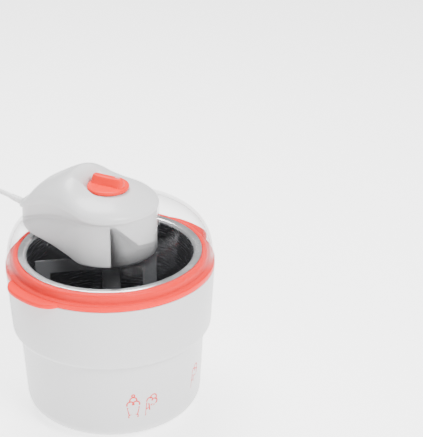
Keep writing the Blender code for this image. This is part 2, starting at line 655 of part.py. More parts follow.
def lower_cover():
    wall = COVER_WALL
    rows = [drop_ring(floor_height(), -3.0 * MM), drop_ring(floor_height(0.9 * MM), -0.9 * MM),
            drop_ring(floor_height(3.0 * MM)), drop_ring(lip_height())]
    rows += [drop_ring(lip_height(), -wall), drop_ring(floor_height(3.0 * MM + wall / 2), -wall),
             drop_ring(floor_height(wall), -wall - 2.0 * MM)]
    cover = add("lower_cover", drop_solid(rows), white())
    deck = RIM_Z + DECK_Z
    for k, pair in enumerate(DECK_POSTS):
        floor = line_z(FLOOR_LINE, pair[0] * MM)
        spot = post_spot(pair)
        carve(cover, f"deck_post_{k}", rod(POST_R, floor + 1 * MM, deck - GAP, spot, 12), white(), "UNION")
        hole = rod(SCREW_R + RUN, deck - 8 * MM, deck + 1 * MM, spot, 10)
        carve(cover, f"cut_deck_post_{k}", hole, white())
        head = deck + DECK_T + GAP
        screw(f"deck_screw_{k + 1}", deck - 6 * MM, head, head + SCREW_HEAD_H, spot)
    for k, pair in enumerate(COVER_POSTS):
        floor = line_z(FLOOR_LINE, pair[0] * MM)
        spot, sink = post_spot(pair), floor + SCREW_SINK
        boss = rod(POST_R + 1.5 * MM, floor + 1 * MM, floor + 6 * MM, spot, 12)
        carve(cover, f"boss_{k}", boss, white(), "UNION")
        carve(cover, f"cut_sink_{k}", rod(SCREW_HEAD_R + GAP, floor - 3 * MM, sink, spot, 12), white())
        carve(cover, f"cut_boss_{k}", rod(SCREW_R + RUN, floor, floor + 8 * MM, spot, 12), white())
        head = sink - GAP
        screw(f"cover_screw_{k + 1}", deck + 17 * MM, head - SCREW_HEAD_H, head, spot)
    bush = rod(BUSH_R - 2 * MM + GAP, RIM_Z - 2 * MM, RIM_Z + 12 * MM, sides=20)
    carve(cover, "cut_lower_bush", bush, white())
    boolean(cover, cord_hole("cut_cord_low"))


def cord_line():
    """Matrix that stands on the strain relief's foot and points along the cord's first stretch."""
    first = Vector(CORD_AIM) - Vector(CORD_EXIT)
    turn = first.to_track_quat("Z", "Y").to_matrix().to_4x4()
    return Matrix.Translation(Vector(CORD_EXIT)) @ turn




def cord_hole(name):
    bm = rod(RELIEF_R + GAP, -RELIEF_LENGTH + RELIEF_FLANGE_T, 4 * MM, sides=16)
    bmesh.ops.transform(bm, matrix=cord_line(), verts=bm.verts)
    return add(name, bm, white(), cutter=True)


def relief_room(name):
    """Cutter that keeps the strain relief's inner end clear of what stands near it."""
    bm = rod(RELIEF_FLANGE_R + GAP, -RELIEF_LENGTH - GAP, 0, sides=16)
    bmesh.ops.transform(bm, matrix=cord_line(), verts=bm.verts)
    return add(name, bm, steel(), cutter=True)


def relief_slot(name):
    """Cutter that opens the lid above the strain relief, so the drive unit still lifts straight out."""
    aim = (Vector(CORD_AIM) - Vector(CORD_EXIT)).normalized()
    half = RELIEF_FLANGE_R + WELL_GAP
    low = CORD_EXIT[2] - RELIEF_LENGTH * aim.z - half
    near, far = ARM * ARM_LENGTH, ARM * (ARM_LENGTH + JACKET_TOP_R)
    corners = (near - SIDE * half, far - SIDE * half, far + SIDE * half, near + SIDE * half)
    rows = [[Vector((p.x, p.y, z)) for p in corners] for z in (low, RIM_Z + 90 * MM)]
    return add(name, loft(rows), white(), cutter=True)


def upper_cover():
    wall = COVER_WALL
    outer = upper_rows()
    inner = [drop_ring(crown_height(c, wall), -wall * c, c) for c in CROWN_SHARES[::-1]]
    inner.append(drop_ring(lip_height(GAP), -wall))
    cover = add("upper_cover", drop_solid(inner + outer), white())
    sink = wall / 2
    core = [drop_ring(lip_height(GAP), LIP_OVERHANG - sink)]
    core += [drop_ring(crown_height(c, sink), (LIP_OVERHANG - sink) * c, c) for c in CROWN_SHARES]
    hull = add("upper_hull", drop_solid(core), white(), cutter=True)
    seat = RIM_Z + SEAT_Z
    boss = rod(SEAT_R + SEAT_FLARE, seat - wall, seat + 30 * MM, sides=32)
    boss = add("seat_boss", boss, white(), cutter=True)
    boolean(boss, hull, "INTERSECT")
    boolean(cover, boss, "UNION")
    deck = RIM_Z + DECK_Z + DECK_T
    for k, pair in enumerate(COVER_POSTS):
        spot = post_spot(pair)
        post = rod(POST_R, deck + 6 * MM, RIM_Z + 90 * MM, spot, 12)
        post = add(f"cover_post_{k}", post, white(), cutter=True)
        boolean(post, hull, "INTERSECT")
        boolean(cover, post, "UNION")
        carve(cover, f"cut_post_{k}", rod(SCREW_R + RUN, deck, deck + 19 * MM, spot, 12), white())
    dish = [(SEAT_R, seat), (SEAT_R + 0.6 * MM, seat + 3 * MM), (SEAT_R + 0.4 * SEAT_FLARE, seat + 9 * MM),
            (SEAT_R + SEAT_FLARE, seat + 14 * MM), (SEAT_R + SEAT_FLARE, seat + 40 * MM)]
    carve(cover, "cut_seat", turned(dish, 40), white())
    carve(cover, "cut_spindle", rod(SPINDLE_R + GAP, seat - 9 * MM, seat + 9 * MM), white())
    boolean(cover, cord_hole("cut_cord_high"))


FIN_OUTLINE = ((-1, -0.5), (-0.6, -1), (0.6, -1), (1, -0.5), (1, 0.5), (0.6, 1), (-0.6, 1), (-1, 0.5))


def switch_knob():
    low = RIM_Z + SEAT_Z + GAP
    top = low + KNOB_H
    disc = [(KNOB_R, low), (KNOB_R, top - 1.2 * MM), (KNOB_R - 1.4 * MM, top),
            (KNOB_R * 0.5, top + 0.4 * MM)]
    knob = add("switch_knob", turned(disc, 36), coral(), at=(0, 0, low))
    turn = Matrix.Rotation(KNOB_FIN_TURN, 4, "Z")
    tall, half = top + KNOB_FIN_H, KNOB_FIN_T / 2
    long = KNOB_R - 2.6 * MM
    rows = []
    for z, w, reach in ((low + 1 * MM, half + 1.6 * MM, long), (tall - 2 * MM, half, long - 1.4 * MM),
                        (tall, half - 1.2 * MM, long - 3.4 * MM)):
        rows.append([turn @ Vector((x * reach, y * w, z)) for x, y in FIN_OUTLINE])
    carve(knob, "knob_fin", loft(rows), coral(), "UNION")
    socket = rod(SPINDLE_R + GAP, low - 1 * MM, low + 6 * MM)
    carve(knob, "cut_knob_socket", socket, coral())
    foot = RIM_Z + SEAT_Z - 11 * MM
    add("switch_spindle", rod(SPINDLE_R, foot, low + 6 * MM - GAP), nylon(), at=(0, 0, foot))
    body_top = RIM_Z + SEAT_Z - COVER_WALL - SWITCH_DROP
    case = block((-14 * MM, -9 * MM, body_top - 13 * MM), (14 * MM, 9 * MM, body_top))
    body = add("switch_body", case, grey())
    well = rod(SPINDLE_R + GAP, foot - GAP, body_top + 1 * MM)
    carve(body, "cut_switch_well", well, grey())


# ---------------------------------------------------------------- motor and gears

def gear_outline(teeth, phase, centre):
    """One loop of a straight-sided gear: each tooth has two points at its root and two at its tip."""
    pitch_r = teeth * MODULE / 2
    root, tip = pitch_r - 1.15 * MODULE, pitch_r + 0.8 * MODULE
    pitch = 2 * pi / teeth
    loop = []
    for i in range(teeth):
        middle = phase + i * pitch
        for radius, share in ((root, -0.36), (tip, -0.12), (tip, 0.12), (root, 0.36)):
            angle = middle + share * pitch
            loop.append((centre[0] + radius * cos(angle), centre[1] + radius * sin(angle)))
    return loop


def gear(teeth, phase, centre, low, high):
    outline = gear_outline(teeth, phase, centre)
    return loft([[Vector((x, y, z)) for x, y in outline] for z in (low, high)])


def gear_train():
    low = RIM_Z + LOW_GEARS_Z
    high = RIM_Z + HIGH_GEARS_Z
    deck = RIM_Z + DECK_Z
    out_at, mid_at, motor_at = (0.0, 0.0), post_spot((AXLE_S / MM, 0)), post_spot((MOTOR_S / MM, 0))
    toward_motor, toward_output = ARM_AZIMUTH, ARM_AZIMUTH + pi

    shaft_top = deck + DECK_T + 4 * MM
    wheel = gear(TEETH_OUTPUT, toward_motor + pi / TEETH_OUTPUT, out_at, low, low + GEAR_T)
    output = add("output_gear", wheel, nylon(), at=(0, 0, low))
    spine = [(SHAFT_HEX_R, RIM_Z + SHAFT_FOOT_Z), (SHAFT_HEX_R, RIM_Z - 2.5 * MM)]
    hexagon = add("output_hex", turned(spine, 6), steel(), cutter=True)
    shaft = add("output_shaft", rod(SHAFT_R, RIM_Z - 3 * MM, shaft_top), steel(), cutter=True)
    boolean(output, shaft, "UNION")
    boolean(output, hexagon, "UNION")

    idler = add("idler_gear", gear(TEETH_WHEEL, toward_motor, mid_at, high, high + GEAR_T), nylon(),
                at=(*mid_at, high))
    small = gear(TEETH_IDLER, toward_output, mid_at, low, high + 0.5 * MM)
    carve(idler, "idler_pinion", small, nylon(), "UNION")
    bore = rod(AXLE_R + RUN, low - 1 * MM, high + GEAR_T + 1 * MM, mid_at)
    carve(idler, "cut_idler_bore", bore, nylon())
    add("idler_axle", rod(AXLE_R, low - 0.2 * MM, deck + DECK_T, mid_at), steel())

    motor_low = deck + DECK_T + GAP
    pinion = gear(TEETH_PINION, toward_output + pi / TEETH_PINION, motor_at, high, high + GEAR_T)
    rotor = add("motor_rotor", pinion, steel(), at=(*motor_at, high))
    rotor_top = motor_low + MOTOR_H + 3 * MM
    carve(rotor, "rotor_shaft", rod(ROTOR_SHAFT_R, high - 0.8 * MM, rotor_top, motor_at), steel(), "UNION")
    can = [(MOTOR_R - 1 * MM, motor_low), (MOTOR_R, motor_low + 1 * MM),
           (MOTOR_R, motor_low + MOTOR_H - 2 * MM), (MOTOR_R - 2 * MM, motor_low + MOTOR_H)]
    motor = add("motor_can", turned(can, 28, motor_at), steel())
    bore = rod(ROTOR_SHAFT_R + RUN, motor_low - 1 * MM, rotor_top + 1 * MM, motor_at)
    carve(motor, "cut_motor", bore, steel())
    gear_deck(motor_at, mid_at, motor)
    tube_low = line_z(FLOOR_LINE, 0)
    bush = [(BUSH_R - 2 * MM, tube_low + 0.2 * MM), (BUSH_R - 2 * MM, tube_low + COVER_WALL + 2 * GAP),
            (BUSH_R, tube_low + COVER_WALL + 2 * GAP), (BUSH_R, tube_low + COVER_WALL + BUSH_FLANGE),
            (SHAFT_R + RUN, tube_low + COVER_WALL + BUSH_FLANGE), (SHAFT_R + RUN, tube_low + 0.2 * MM)]
    add("lower_bush", turned(bush, 20, hollow=True), material("bronze", (0.55, 0.36, 0.16), 0.35, 1.0))
    bush = [(BUSH_R, deck + DECK_T + GAP + BUSH_FLANGE), (BUSH_R, deck + DECK_T + GAP),
            (BUSH_R - 2 * MM, deck + DECK_T + GAP), (BUSH_R - 2 * MM, deck),
            (SHAFT_R + RUN, deck), (SHAFT_R + RUN, deck + DECK_T + GAP + BUSH_FLANGE)]
    add("upper_bush", turned(bush, 20, hollow=True), material("bronze", (0.55, 0.36, 0.16), 0.35, 1.0))


def gear_deck(motor_at, mid_at, motor):
    deck = RIM_Z + DECK_Z
    inset = -COVER_WALL - 0.6 * MM
    plate = add("gear_deck", drop_solid([drop_ring(deck, inset), drop_ring(deck + DECK_T, inset)]), steel())
    holes = [("bush", (0.0, 0.0), BUSH_R - 2 * MM + GAP), ("axle", mid_at, AXLE_R + GAP),
             ("rotor", motor_at, ROTOR_SHAFT_R + 2.0 * MM)]
    holes += [(f"deck_{k}", post_spot(pair), SCREW_R + RUN) for k, pair in enumerate(DECK_POSTS)]
    holes += [(f"cover_{k}", post_spot(pair), SCREW_R + 1 * MM) for k, pair in enumerate(COVER_POSTS)]
    for k, turn in enumerate((pi / 2, -pi / 2)):
        spot = arm_point(MOTOR_S, 10 * MM * sin(turn))
        holes.append((f"motor_{k}", (spot.x, spot.y), SCREW_R + RUN))
        sink = rod(SCREW_R + RUN, deck, deck + DECK_T + 6 * MM, (spot.x, spot.y), 10)
        carve(motor, f"cut_motor_screw_{k}", sink, steel())
        head = deck - GAP - 1.0 * MM
        low_head = turned([(2.4 * MM, head), (2.4 * MM, head + 1.0 * MM), (SCREW_R, head + 1.0 * MM),
                           (SCREW_R, deck + DECK_T + 5 * MM)], 10, (spot.x, spot.y))
        add(f"motor_screw_{k + 1}", low_head, steel())
    for label, spot, radius in holes:
        cut = rod(radius, deck - 1 * MM, deck + DECK_T + 1 * MM, spot, 14)
        carve(plate, "cut_deck_" + label, cut, steel())
    boolean(plate, relief_room("cut_deck_relief"))


# ---------------------------------------------------------------- paddle

def paddle():
    """A hub with a hexagonal socket and two legs: one scrapes the wall, the other stirs halfway out."""
    low, high = POT_FLOOR_Z + PADDLE_FLOOR_GAP, RIM_Z + PADDLE_TOP_Z
    smoke = material("smoke_plastic", (0.45, 0.47, 0.48), 0.25)
    hub = turned([(PADDLE_HUB_R, high), (PADDLE_HUB_R + 1.5 * MM, low)], 20)
    hub = add("paddle", hub, smoke, at=(0, 0, low))
    turn = Matrix.Rotation(PADDLE_AZIMUTH, 4, "Z")
    half = PADDLE_T / 2
    leg, foot = half * 0.98, half * 0.96        # a hair thinner than the bar, so no two faces lie flush
    inner = -PADDLE_R * 0.615
    bars = {"bar": ((-PADDLE_R * 0.62, -half, high - PADDLE_BAR_H), (PADDLE_R, half, high - 2 * MM)),
            "outer_leg": ((PADDLE_R - PADDLE_LEG_W, -leg, low), (PADDLE_R * 0.995, leg, high - 6 * MM)),
            "inner_leg": ((inner, -leg, low + 12 * MM), (inner + PADDLE_LEG_W, leg, high - 6 * MM)),
            "foot_bar": ((-2 * MM, -foot, low + 0.4 * MM), (PADDLE_R * 0.99, foot, low + 12 * MM))}
    for label, (a, b) in bars.items():
        carve(hub, "paddle_" + label, block(a, b, turn), smoke, "UNION")
    socket_r = SHAFT_HEX_R + 0.5 * MM
    socket = turned([(socket_r, RIM_Z + SHAFT_FOOT_Z - 1 * MM), (socket_r, high + 1 * MM)], 6)
    carve(hub, "cut_paddle_socket", socket, smoke)


# ---------------------------------------------------------------- mains lead

def smooth_route(route, spacing):
    """Points at an even spacing on a smooth curve through the route's points."""
    pts = [Vector(p) for p in route]
    dense = []
    for i in range(len(pts) - 1):
        a, b, c, d = pts[max(i - 1, 0)], pts[i], pts[i + 1], pts[min(i + 2, len(pts) - 1)]
        for k in range(24):
            t = k / 24
            dense.append(0.5 * (2 * b + (c - a) * t + (2 * a - 5 * b + 4 * c - d) * t * t
                                + (3 * b - a - 3 * c + d) * t ** 3))
    dense.append(pts[-1])
    lengths = [0.0]
    for p, q in zip(dense[:-1], dense[1:]):
        lengths.append(lengths[-1] + (q - p).length)
    count = max(2, round(lengths[-1] / spacing))
    out = []
    for k in range(count + 1):
        want = lengths[-1] * k / count
        i = min(max(j for j in range(len(lengths)) if lengths[j] <= want + 1e-12), len(dense) - 2)
        t = (want - lengths[i]) / max(lengths[i + 1] - lengths[i], 1e-12)
        out.append(dense[i].lerp(dense[i + 1], t))
    return out


def cord_tube(name, route, mat):
    curve = bpy.data.curves.new(name, "CURVE")
    curve.dimensions = "3D"
    curve.bevel_depth = CORD_D / 2
    curve.bevel_resolution = 2
    curve.use_fill_caps = True
    points = smooth_route(route, CORD_D * 2)
    spline = curve.splines.new("POLY")
    spline.points.add(len(points) - 1)
    for point, co in zip(spline.points, points):
        point.co = (*co, 1.0)
    curve.materials.append(mat)
    cord = bpy.data.objects.new(name, curve)
    bpy.context.scene.collection.objects.link(cord)


def mains_lead():
    lead = material("cord_grey", (0.72, 0.72, 0.72), 0.5)
    cord_tube("power_cord", CORD_ROUTE, lead)
    cord_tube("cord_tail", TAIL_ROUTE, lead)
    inner, outer = COIL_MEAN_R - COIL_W / 2, COIL_MEAN_R + COIL_W / 2
    coil = [(outer, GAP), (outer, COIL_H), (inner, COIL_H), (inner, GAP)]
    add("cord_coil", turned(coil, 28, COIL_CENTRE, hollow=True), lead)

    flange = RELIEF_FLANGE_T - RELIEF_LENGTH
    relief = [(RELIEF_FLANGE_R, -RELIEF_LENGTH), (RELIEF_FLANGE_R, flange), (RELIEF_R, flange),
              (RELIEF_R, flange + 8 * MM), (RELIEF_TIP_R, -GAP)]
    bm = turned(relief, 14)
    bmesh.ops.transform(bm, matrix=cord_line(), verts=bm.verts)
    add("strain_relief", bm, rubber())

    cx, cy = PLUG_CENTRE
    outline = ((-1, -0.5), (-0.8, -1), (0.8, -1), (1, -0.5), (1, 0.5), (0.8, 1), (-0.8, 1), (-1, 0.5))
    plug = [(cx - 17.5 * MM, 7.0 * MM, 4.0 * MM), (cx - 15 * MM, 9.0 * MM, 6.4 * MM),
            (cx - 2 * MM, 12.5 * MM, 7.0 * MM), (cx + 17.5 * MM, 17.5 * MM, 7.0 * MM)]
    rows = []
    for x, half, tall in plug:
        rows.append([Vector((x, cy + half * a, PLUG_Z + tall * b)) for a, b in outline])
    add("mains_plug", loft(rows), lead)
    for k, side in enumerate((-1, 1)):
        pin = rod(2.0 * MM, 0, 19 * MM, sides=10)
        bmesh.ops.rotate(pin, verts=pin.verts, cent=(0, 0, 0), matrix=Matrix.Rotation(pi / 2, 3, "Y"))
        spot = (cx + 17.5 * MM + GAP, cy + side * PIN_SPACING / 2, PLUG_Z)
        bmesh.ops.translate(pin, verts=pin.verts, vec=spot)
        add(f"plug_pin_{k + 1}", pin, steel())


def main():
    clear_scene()
    outer_housing()
    base_plate()
    collar_ring()
    freezer_bowl()
    clear_lid()
    lower_cover()
    upper_cover()
    switch_knob()
    gear_train()
    paddle()
    mains_lead()


main()
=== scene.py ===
"""Looks of the small ice cream maker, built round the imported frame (metres, +Z up)."""
import bpy
import bmesh
from math import acos, cos, pi, radians, sin
from mathutils import Matrix, Vector


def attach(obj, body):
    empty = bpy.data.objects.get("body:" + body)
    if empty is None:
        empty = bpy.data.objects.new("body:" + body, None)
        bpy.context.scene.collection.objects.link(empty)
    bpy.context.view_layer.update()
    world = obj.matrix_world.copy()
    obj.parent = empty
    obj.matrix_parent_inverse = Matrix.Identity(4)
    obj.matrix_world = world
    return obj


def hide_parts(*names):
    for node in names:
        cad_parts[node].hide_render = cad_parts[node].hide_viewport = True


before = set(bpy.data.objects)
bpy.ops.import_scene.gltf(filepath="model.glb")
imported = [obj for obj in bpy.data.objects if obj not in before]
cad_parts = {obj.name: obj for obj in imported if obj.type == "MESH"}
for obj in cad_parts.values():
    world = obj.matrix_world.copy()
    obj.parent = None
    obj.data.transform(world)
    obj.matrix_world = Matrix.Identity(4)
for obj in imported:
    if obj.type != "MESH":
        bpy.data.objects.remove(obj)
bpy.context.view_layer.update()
MM = 0.001

# ---------------------------------------------------------------- sizes, as in the frame

RIM_Z = 169.0 * MM
COLLAR_Z = 154.0 * MM
FLANGE_Z = 160.0 * MM
STEP_Z = 88.0 * MM
FOOT_STAND = 2.3 * MM
JACKET_TOP_R, JACKET_STEP_R, JACKET_WAIST_R, JACKET_FOOT_R = 103.0 * MM, 99.4 * MM, 92.1 * MM, 88.2 * MM
JACKET_WALL = 2.6 * MM
GAP = 0.3 * MM
COLLAR_R = 97.0 * MM
RIM_R = 90.6 * MM
RIM_T = 1.6 * MM
POT_TOP_R, POT_FOOT_R, POT_FLOOR_Z, POT_WALL, POT_ROUND = 81.5 * MM, 77.0 * MM, 48.0 * MM, 1.4 * MM, 12.0 * MM
SHELL_TOP_R = 87.0 * MM
ARM_AZIMUTH = radians(157.4)
DRUM_R, ARM_END_R, ARM_LENGTH = 46.6 * MM, 27.5 * MM, 65.0 * MM
COVER_WALL, LIP_OVERHANG = 2.4 * MM, 2.2 * MM
SEAT_R, SEAT_Z, SEAT_FLARE = 22.0 * MM, 65.5 * MM, 11.0 * MM
LID_WALL = 1.8 * MM
WELL_GAP, WELL_FLOOR_GAP = 0.5 * MM, 0.8 * MM
KNOB_R = 20.5 * MM
CORD_D = 5.0 * MM
COIL_CENTRE = (-0.181, 0.106)
PLUG_CENTRE = (-0.181, 0.164)
ARM = Vector((cos(ARM_AZIMUTH), sin(ARM_AZIMUTH), 0))
SIDE = Vector((-ARM.y, ARM.x, 0))

# ---------------------------------------------------------------- camera

FILM_HEIGHT = 36                        # mm
CAMERA_FOCUS = 3.3524                   # focal length over the frame's height
CAMERA_DISTANCE = 1.441
CAMERA_ELEVATION = radians(25.28)
CAMERA_AIM = (0.0997, 0.0298)           # right and up from the bowl's rim, in the camera's own plane


def make_camera():
    ce, se = cos(CAMERA_ELEVATION), sin(CAMERA_ELEVATION)
    ahead, right, up = Vector((0, ce, -se)), Vector((1, 0, 0)), Vector((0, se, ce))
    data = bpy.data.cameras.new("camera")
    data.sensor_fit = "VERTICAL"
    data.sensor_height = FILM_HEIGHT
    data.lens = CAMERA_FOCUS * FILM_HEIGHT
    cam = bpy.data.objects.new("camera", data)
    place = Vector((0, 0, RIM_Z)) - ahead * CAMERA_DISTANCE + right * CAMERA_AIM[0] + up * CAMERA_AIM[1]
    turn = Matrix((right, up, -ahead)).transposed().to_4x4()
    cam.matrix_world = Matrix.Translation(place) @ turn
    bpy.context.scene.collection.objects.link(cam)
    bpy.context.scene.camera = cam


# ---------------------------------------------------------------- materials

def new_material(name):
    mat = bpy.data.materials.new(name)
    mat.use_nodes = True
    tree = mat.node_tree
    return mat, tree, tree.nodes["Principled BSDF"]


def add_noise(tree, scale, detail, stretch):
    """Noise in the object's own coordinates, drawn out along an axis by the stretch."""
    coords = tree.nodes.new("ShaderNodeTexCoord")
    mapping = tree.nodes.new("ShaderNodeMapping")
    mapping.inputs["Scale"].default_value = stretch
    noise = tree.nodes.new("ShaderNodeTexNoise")
    noise.inputs["Scale"].default_value = scale
    noise.inputs["Detail"].default_value = detail
    tree.links.new(coords.outputs["Object"], mapping.inputs["Vector"])
    tree.links.new(mapping.outputs["Vector"], noise.inputs["Vector"])
    return noise


def add_bump(tree, shader, scale, strength, distance, detail=3.0, stretch=(1, 1, 1)):
    """Fine surface relief from noise, which is returned for other uses."""
    noise = add_noise(tree, scale, detail, stretch)
    bump = tree.nodes.new("ShaderNodeBump")
    bump.inputs["Strength"].default_value = strength
    bump.inputs["Distance"].default_value = distance
    tree.links.new(noise.outputs["Fac"], bump.inputs["Height"])
    tree.links.new(bump.outputs["Normal"], shader.inputs["Normal"])
    return noise


def vary(tree, shader, socket, source, low, high):
    """Maps a noise's value onto a number socket of the shader."""
    span = tree.nodes.new("ShaderNodeMapRange")
    span.inputs["From Min"].default_value = 0.3
    span.inputs["From Max"].default_value = 0.7
    span.inputs["To Min"].default_value = low
    span.inputs["To Max"].default_value = high
    tree.links.new(source.outputs["Fac"], span.inputs["Value"])
    tree.links.new(span.outputs["Result"], shader.inputs[socket])


def tint(tree, shader, colour_a, colour_b, scale, detail=2.0, stretch=(1, 1, 1)):
    """Base colour that drifts slowly between two close colours."""
    noise = add_noise(tree, scale, detail, stretch)
    ramp = tree.nodes.new("ShaderNodeValToRGB")
    ramp.color_ramp.elements[0].position = 0.35
    ramp.color_ramp.elements[1].position = 0.65
    ramp.color_ramp.elements[0].color = (*colour_a, 1)
    ramp.color_ramp.elements[1].color = (*colour_b, 1)
    tree.links.new(noise.outputs["Fac"], ramp.inputs["Fac"])
    tree.links.new(ramp.outputs["Color"], shader.inputs["Base Color"])


def plastic(name, colour, drift, roughness, grain=900, relief=0.04, coat=0.0, gloss=0.5):
    """Moulded plastic: a slow colour drift, a fine spark-eroded grain and uneven gloss."""
    mat, tree, shader = new_material(name)
    tint(tree, shader, colour, tuple(min(1, c * drift) for c in colour), 14)
    noise = add_bump(tree, shader, grain, relief, 0.0002)
    vary(tree, shader, "Roughness", noise, roughness * 0.9, roughness * 1.12)
    shader.inputs["Specular IOR Level"].default_value = gloss
    shader.inputs["Coat Weight"].default_value = coat
    shader.inputs["Coat Roughness"].default_value = 0.12
    return mat


def metal(name, colour, roughness, stretch=(1, 1, 30), scale=160, relief=0.05):
    """Worked metal: grain drawn out along one direction."""
    mat, tree, shader = new_material(name)
    shader.inputs["Metallic"].default_value = 1.0
    tint(tree, shader, colour, tuple(min(1, c * 1.06) for c in colour), 40, 4.0, stretch)
    noise = add_bump(tree, shader, scale, relief, 0.0002, 4.0, stretch)
    vary(tree, shader, "Roughness", noise, roughness * 0.85, roughness * 1.2)
    return mat


def spun_metal(name, colour, painted_shade, roughness):
    """Spun aluminium with fine rings round the bowl's axis; its colour darkens with depth below the rim as
    painted shade inside the bowl.
    """
    mat, tree, shader = new_material(name)
    shader.inputs["Metallic"].default_value = 1.0
    coords = tree.nodes.new("ShaderNodeTexCoord")
    split = tree.nodes.new("ShaderNodeSeparateXYZ")
    # painted shade: the base colour fades from the bright rim to near black 26 mm below it
    height = tree.nodes.new("ShaderNodeMapRange")
    height.inputs["From Min"].default_value = RIM_Z - 26 * MM
    height.inputs["From Max"].default_value = RIM_Z - 2 * MM
    ramp = tree.nodes.new("ShaderNodeValToRGB")
    ramp.color_ramp.elements[0].color = (*painted_shade, 1)
    ramp.color_ramp.elements[1].color = (*colour, 1)
    tree.links.new(coords.outputs["Object"], split.inputs["Vector"])
    tree.links.new(split.outputs["Z"], height.inputs["Value"])
    tree.links.new(height.outputs["Result"], ramp.inputs["Fac"])
    tree.links.new(ramp.outputs["Color"], shader.inputs["Base Color"])
    noise = add_bump(tree, shader, 60, 0.10, 0.0002, 5.0, (0.6, 0.6, 26))
    vary(tree, shader, "Roughness", noise, roughness * 0.8, roughness * 1.25)
    return mat


def clear_plastic():
    """Clear moulded lid: mostly see-through, with glossy walls that turn more opaque and dark grey towards
    grazing angles, as painted edge shade in place of the refraction and reflection a clear wall shows there.
    """
    mat, tree, shader = new_material("clear_lid_plastic")
    shader.inputs["Base Color"].default_value = (0.12, 0.12, 0.13, 1)
    shader.inputs["Roughness"].default_value = 0.04
    shader.inputs["IOR"].default_value = 1.45
    add_bump(tree, shader, 30, 0.02, 0.0004, 2.0)
    # painted edge shade: opacity rises towards grazing angles over a dark grey base colour
    facing = tree.nodes.new("ShaderNodeLayerWeight")
    facing.inputs["Blend"].default_value = 0.35
    curve = tree.nodes.new("ShaderNodeValToRGB")
    for place, level in ((0.0, 0.014), (0.45, 0.05), (0.66, 0.22)):
        stop = curve.color_ramp.elements.new(place) if place else curve.color_ramp.elements[0]
        stop.color = (level, level, level, 1)
    curve.color_ramp.elements[-1].color = (0.85, 0.85, 0.85, 1)
    tree.links.new(facing.outputs["Facing"], curve.inputs["Fac"])
    tree.links.new(curve.outputs["Color"], shader.inputs["Alpha"])
    return mat


WHITE = plastic("white_housing_plastic", (0.56, 0.56, 0.565), 1.02, 0.34, coat=0.1)
CORAL = plastic("coral_collar_plastic", (0.78, 0.006, 0.004), 1.03, 0.40, gloss=0.15)
KNOB_CORAL = plastic("coral_knob_plastic", (0.80, 0.014, 0.005), 1.03, 0.36, gloss=0.2)
PRINT = plastic("coral_print", (0.60, 0.008, 0.006), 1.05, 0.5, relief=0.02)
SMOKE = plastic("smoke_paddle_plastic", (0.07, 0.072, 0.075), 1.08, 0.24, relief=0.03)
GREY = plastic("grey_plastic", (0.30, 0.31, 0.32), 1.06, 0.5)
NYLON = plastic("natural_nylon", (0.72, 0.69, 0.60), 1.05, 0.45)
LEAD = plastic("cord_vinyl", (0.66, 0.66, 0.66), 1.03, 0.45, 1400, 0.08)
RUBBER = plastic("black_rubber", (0.035, 0.035, 0.036), 1.4, 0.75, 1200, 0.15)
GEL = plastic("frozen_gel", (0.24, 0.47, 0.72), 1.15, 0.35, 200, 0.2)
# the bowl's near-black second colour is painted shade deep inside the bowl
BOWL = spun_metal("spun_aluminium", (0.92, 0.93, 0.94), (0.10, 0.105, 0.115), 0.24)
STEEL = metal("zinc_steel", (0.58, 0.58, 0.60), 0.30)
BRONZE = metal("sintered_bronze", (0.55, 0.36, 0.17), 0.42, (1, 1, 1), 500, 0.2)
# the lid's darker edges are painted edge shade
CLEAR = clear_plastic()

# ---------------------------------------------------------------- mesh helpers


def make(name, bm, mat, body=None, replaced=(), sharp=35):
    """Makes a piece from a bmesh, rides it on a body and hides the nodes it stands for."""
    bmesh.ops.recalc_face_normals(bm, faces=bm.faces)
    mesh = bpy.data.meshes.new(name)
    bm.to_mesh(mesh)
    bm.free()
    mesh.shade_smooth()
    mesh.set_sharp_from_angle(angle=radians(sharp))
    mesh.materials.append(mat)
    ob = bpy.data.objects.new(name, mesh)
    bpy.context.scene.collection.objects.link(ob)
    if body:
        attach(ob, body)
    if replaced:
        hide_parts(*replaced)
    return ob


def tool(name, bm, mat=WHITE):
    """A shape that cuts a piece or joins it, and isn't a piece of its own."""
    return make("tool_" + name, bm, mat)


def apply_modifiers(ob):
    """Bakes an object's modifiers into its mesh."""
    graph = bpy.context.evaluated_depsgraph_get()
    mesh = bpy.data.meshes.new_from_object(ob.evaluated_get(graph))
    ob.modifiers.clear()
    ob.data = mesh


def cut(ob, tools, operation="DIFFERENCE", sharp=35):
    """Cuts tools, or joins them on, then removes them; the result is plain mesh again."""
    for tool in tools:
        mod = ob.modifiers.new("cut", "BOOLEAN")
        mod.object = tool
        mod.operation = operation
        mod.solver = "EXACT"
    bpy.context.view_layer.update()
    apply_modifiers(ob)
    for tool in tools:
        bpy.data.objects.remove(tool, do_unlink=True)
    ob.data.shade_smooth()
    ob.data.set_sharp_from_angle(angle=radians(sharp))


def soften(ob, width, segments=3, angle=30):
    """Rounds an object's sharp edges."""
    mod = ob.modifiers.new("round", "BEVEL")
    mod.width = width
    mod.segments = segments
    mod.limit_method = "ANGLE"
    mod.angle_limit = radians(angle)
    mod.harden_normals = True
    bpy.context.view_layer.update()
    apply_modifiers(ob)


def skin(loops, closed=False):
    """A bmesh with a wall over a run of loops, and its rows of corners."""
    bm = bmesh.new()
    rows = [[bm.verts.new(p) for p in loop] for loop in loops]
    run = rows + rows[:1] if closed else rows
    for low, high in zip(run[:-1], run[1:]):
        n = len(low)
        for i in range(n):
            j = (i + 1) % n
            bm.faces.new((low[i], low[j], high[j], high[i]))
    return bm, rows


def loft(loops, closed=False):
    """A solid over a run of loops: capped at both ends, or joined end to end."""
    bm, rows = skin(loops, closed)
    if not closed:
        bm.faces.new(rows[0])
        bm.faces.new(rows[-1])
    return bm


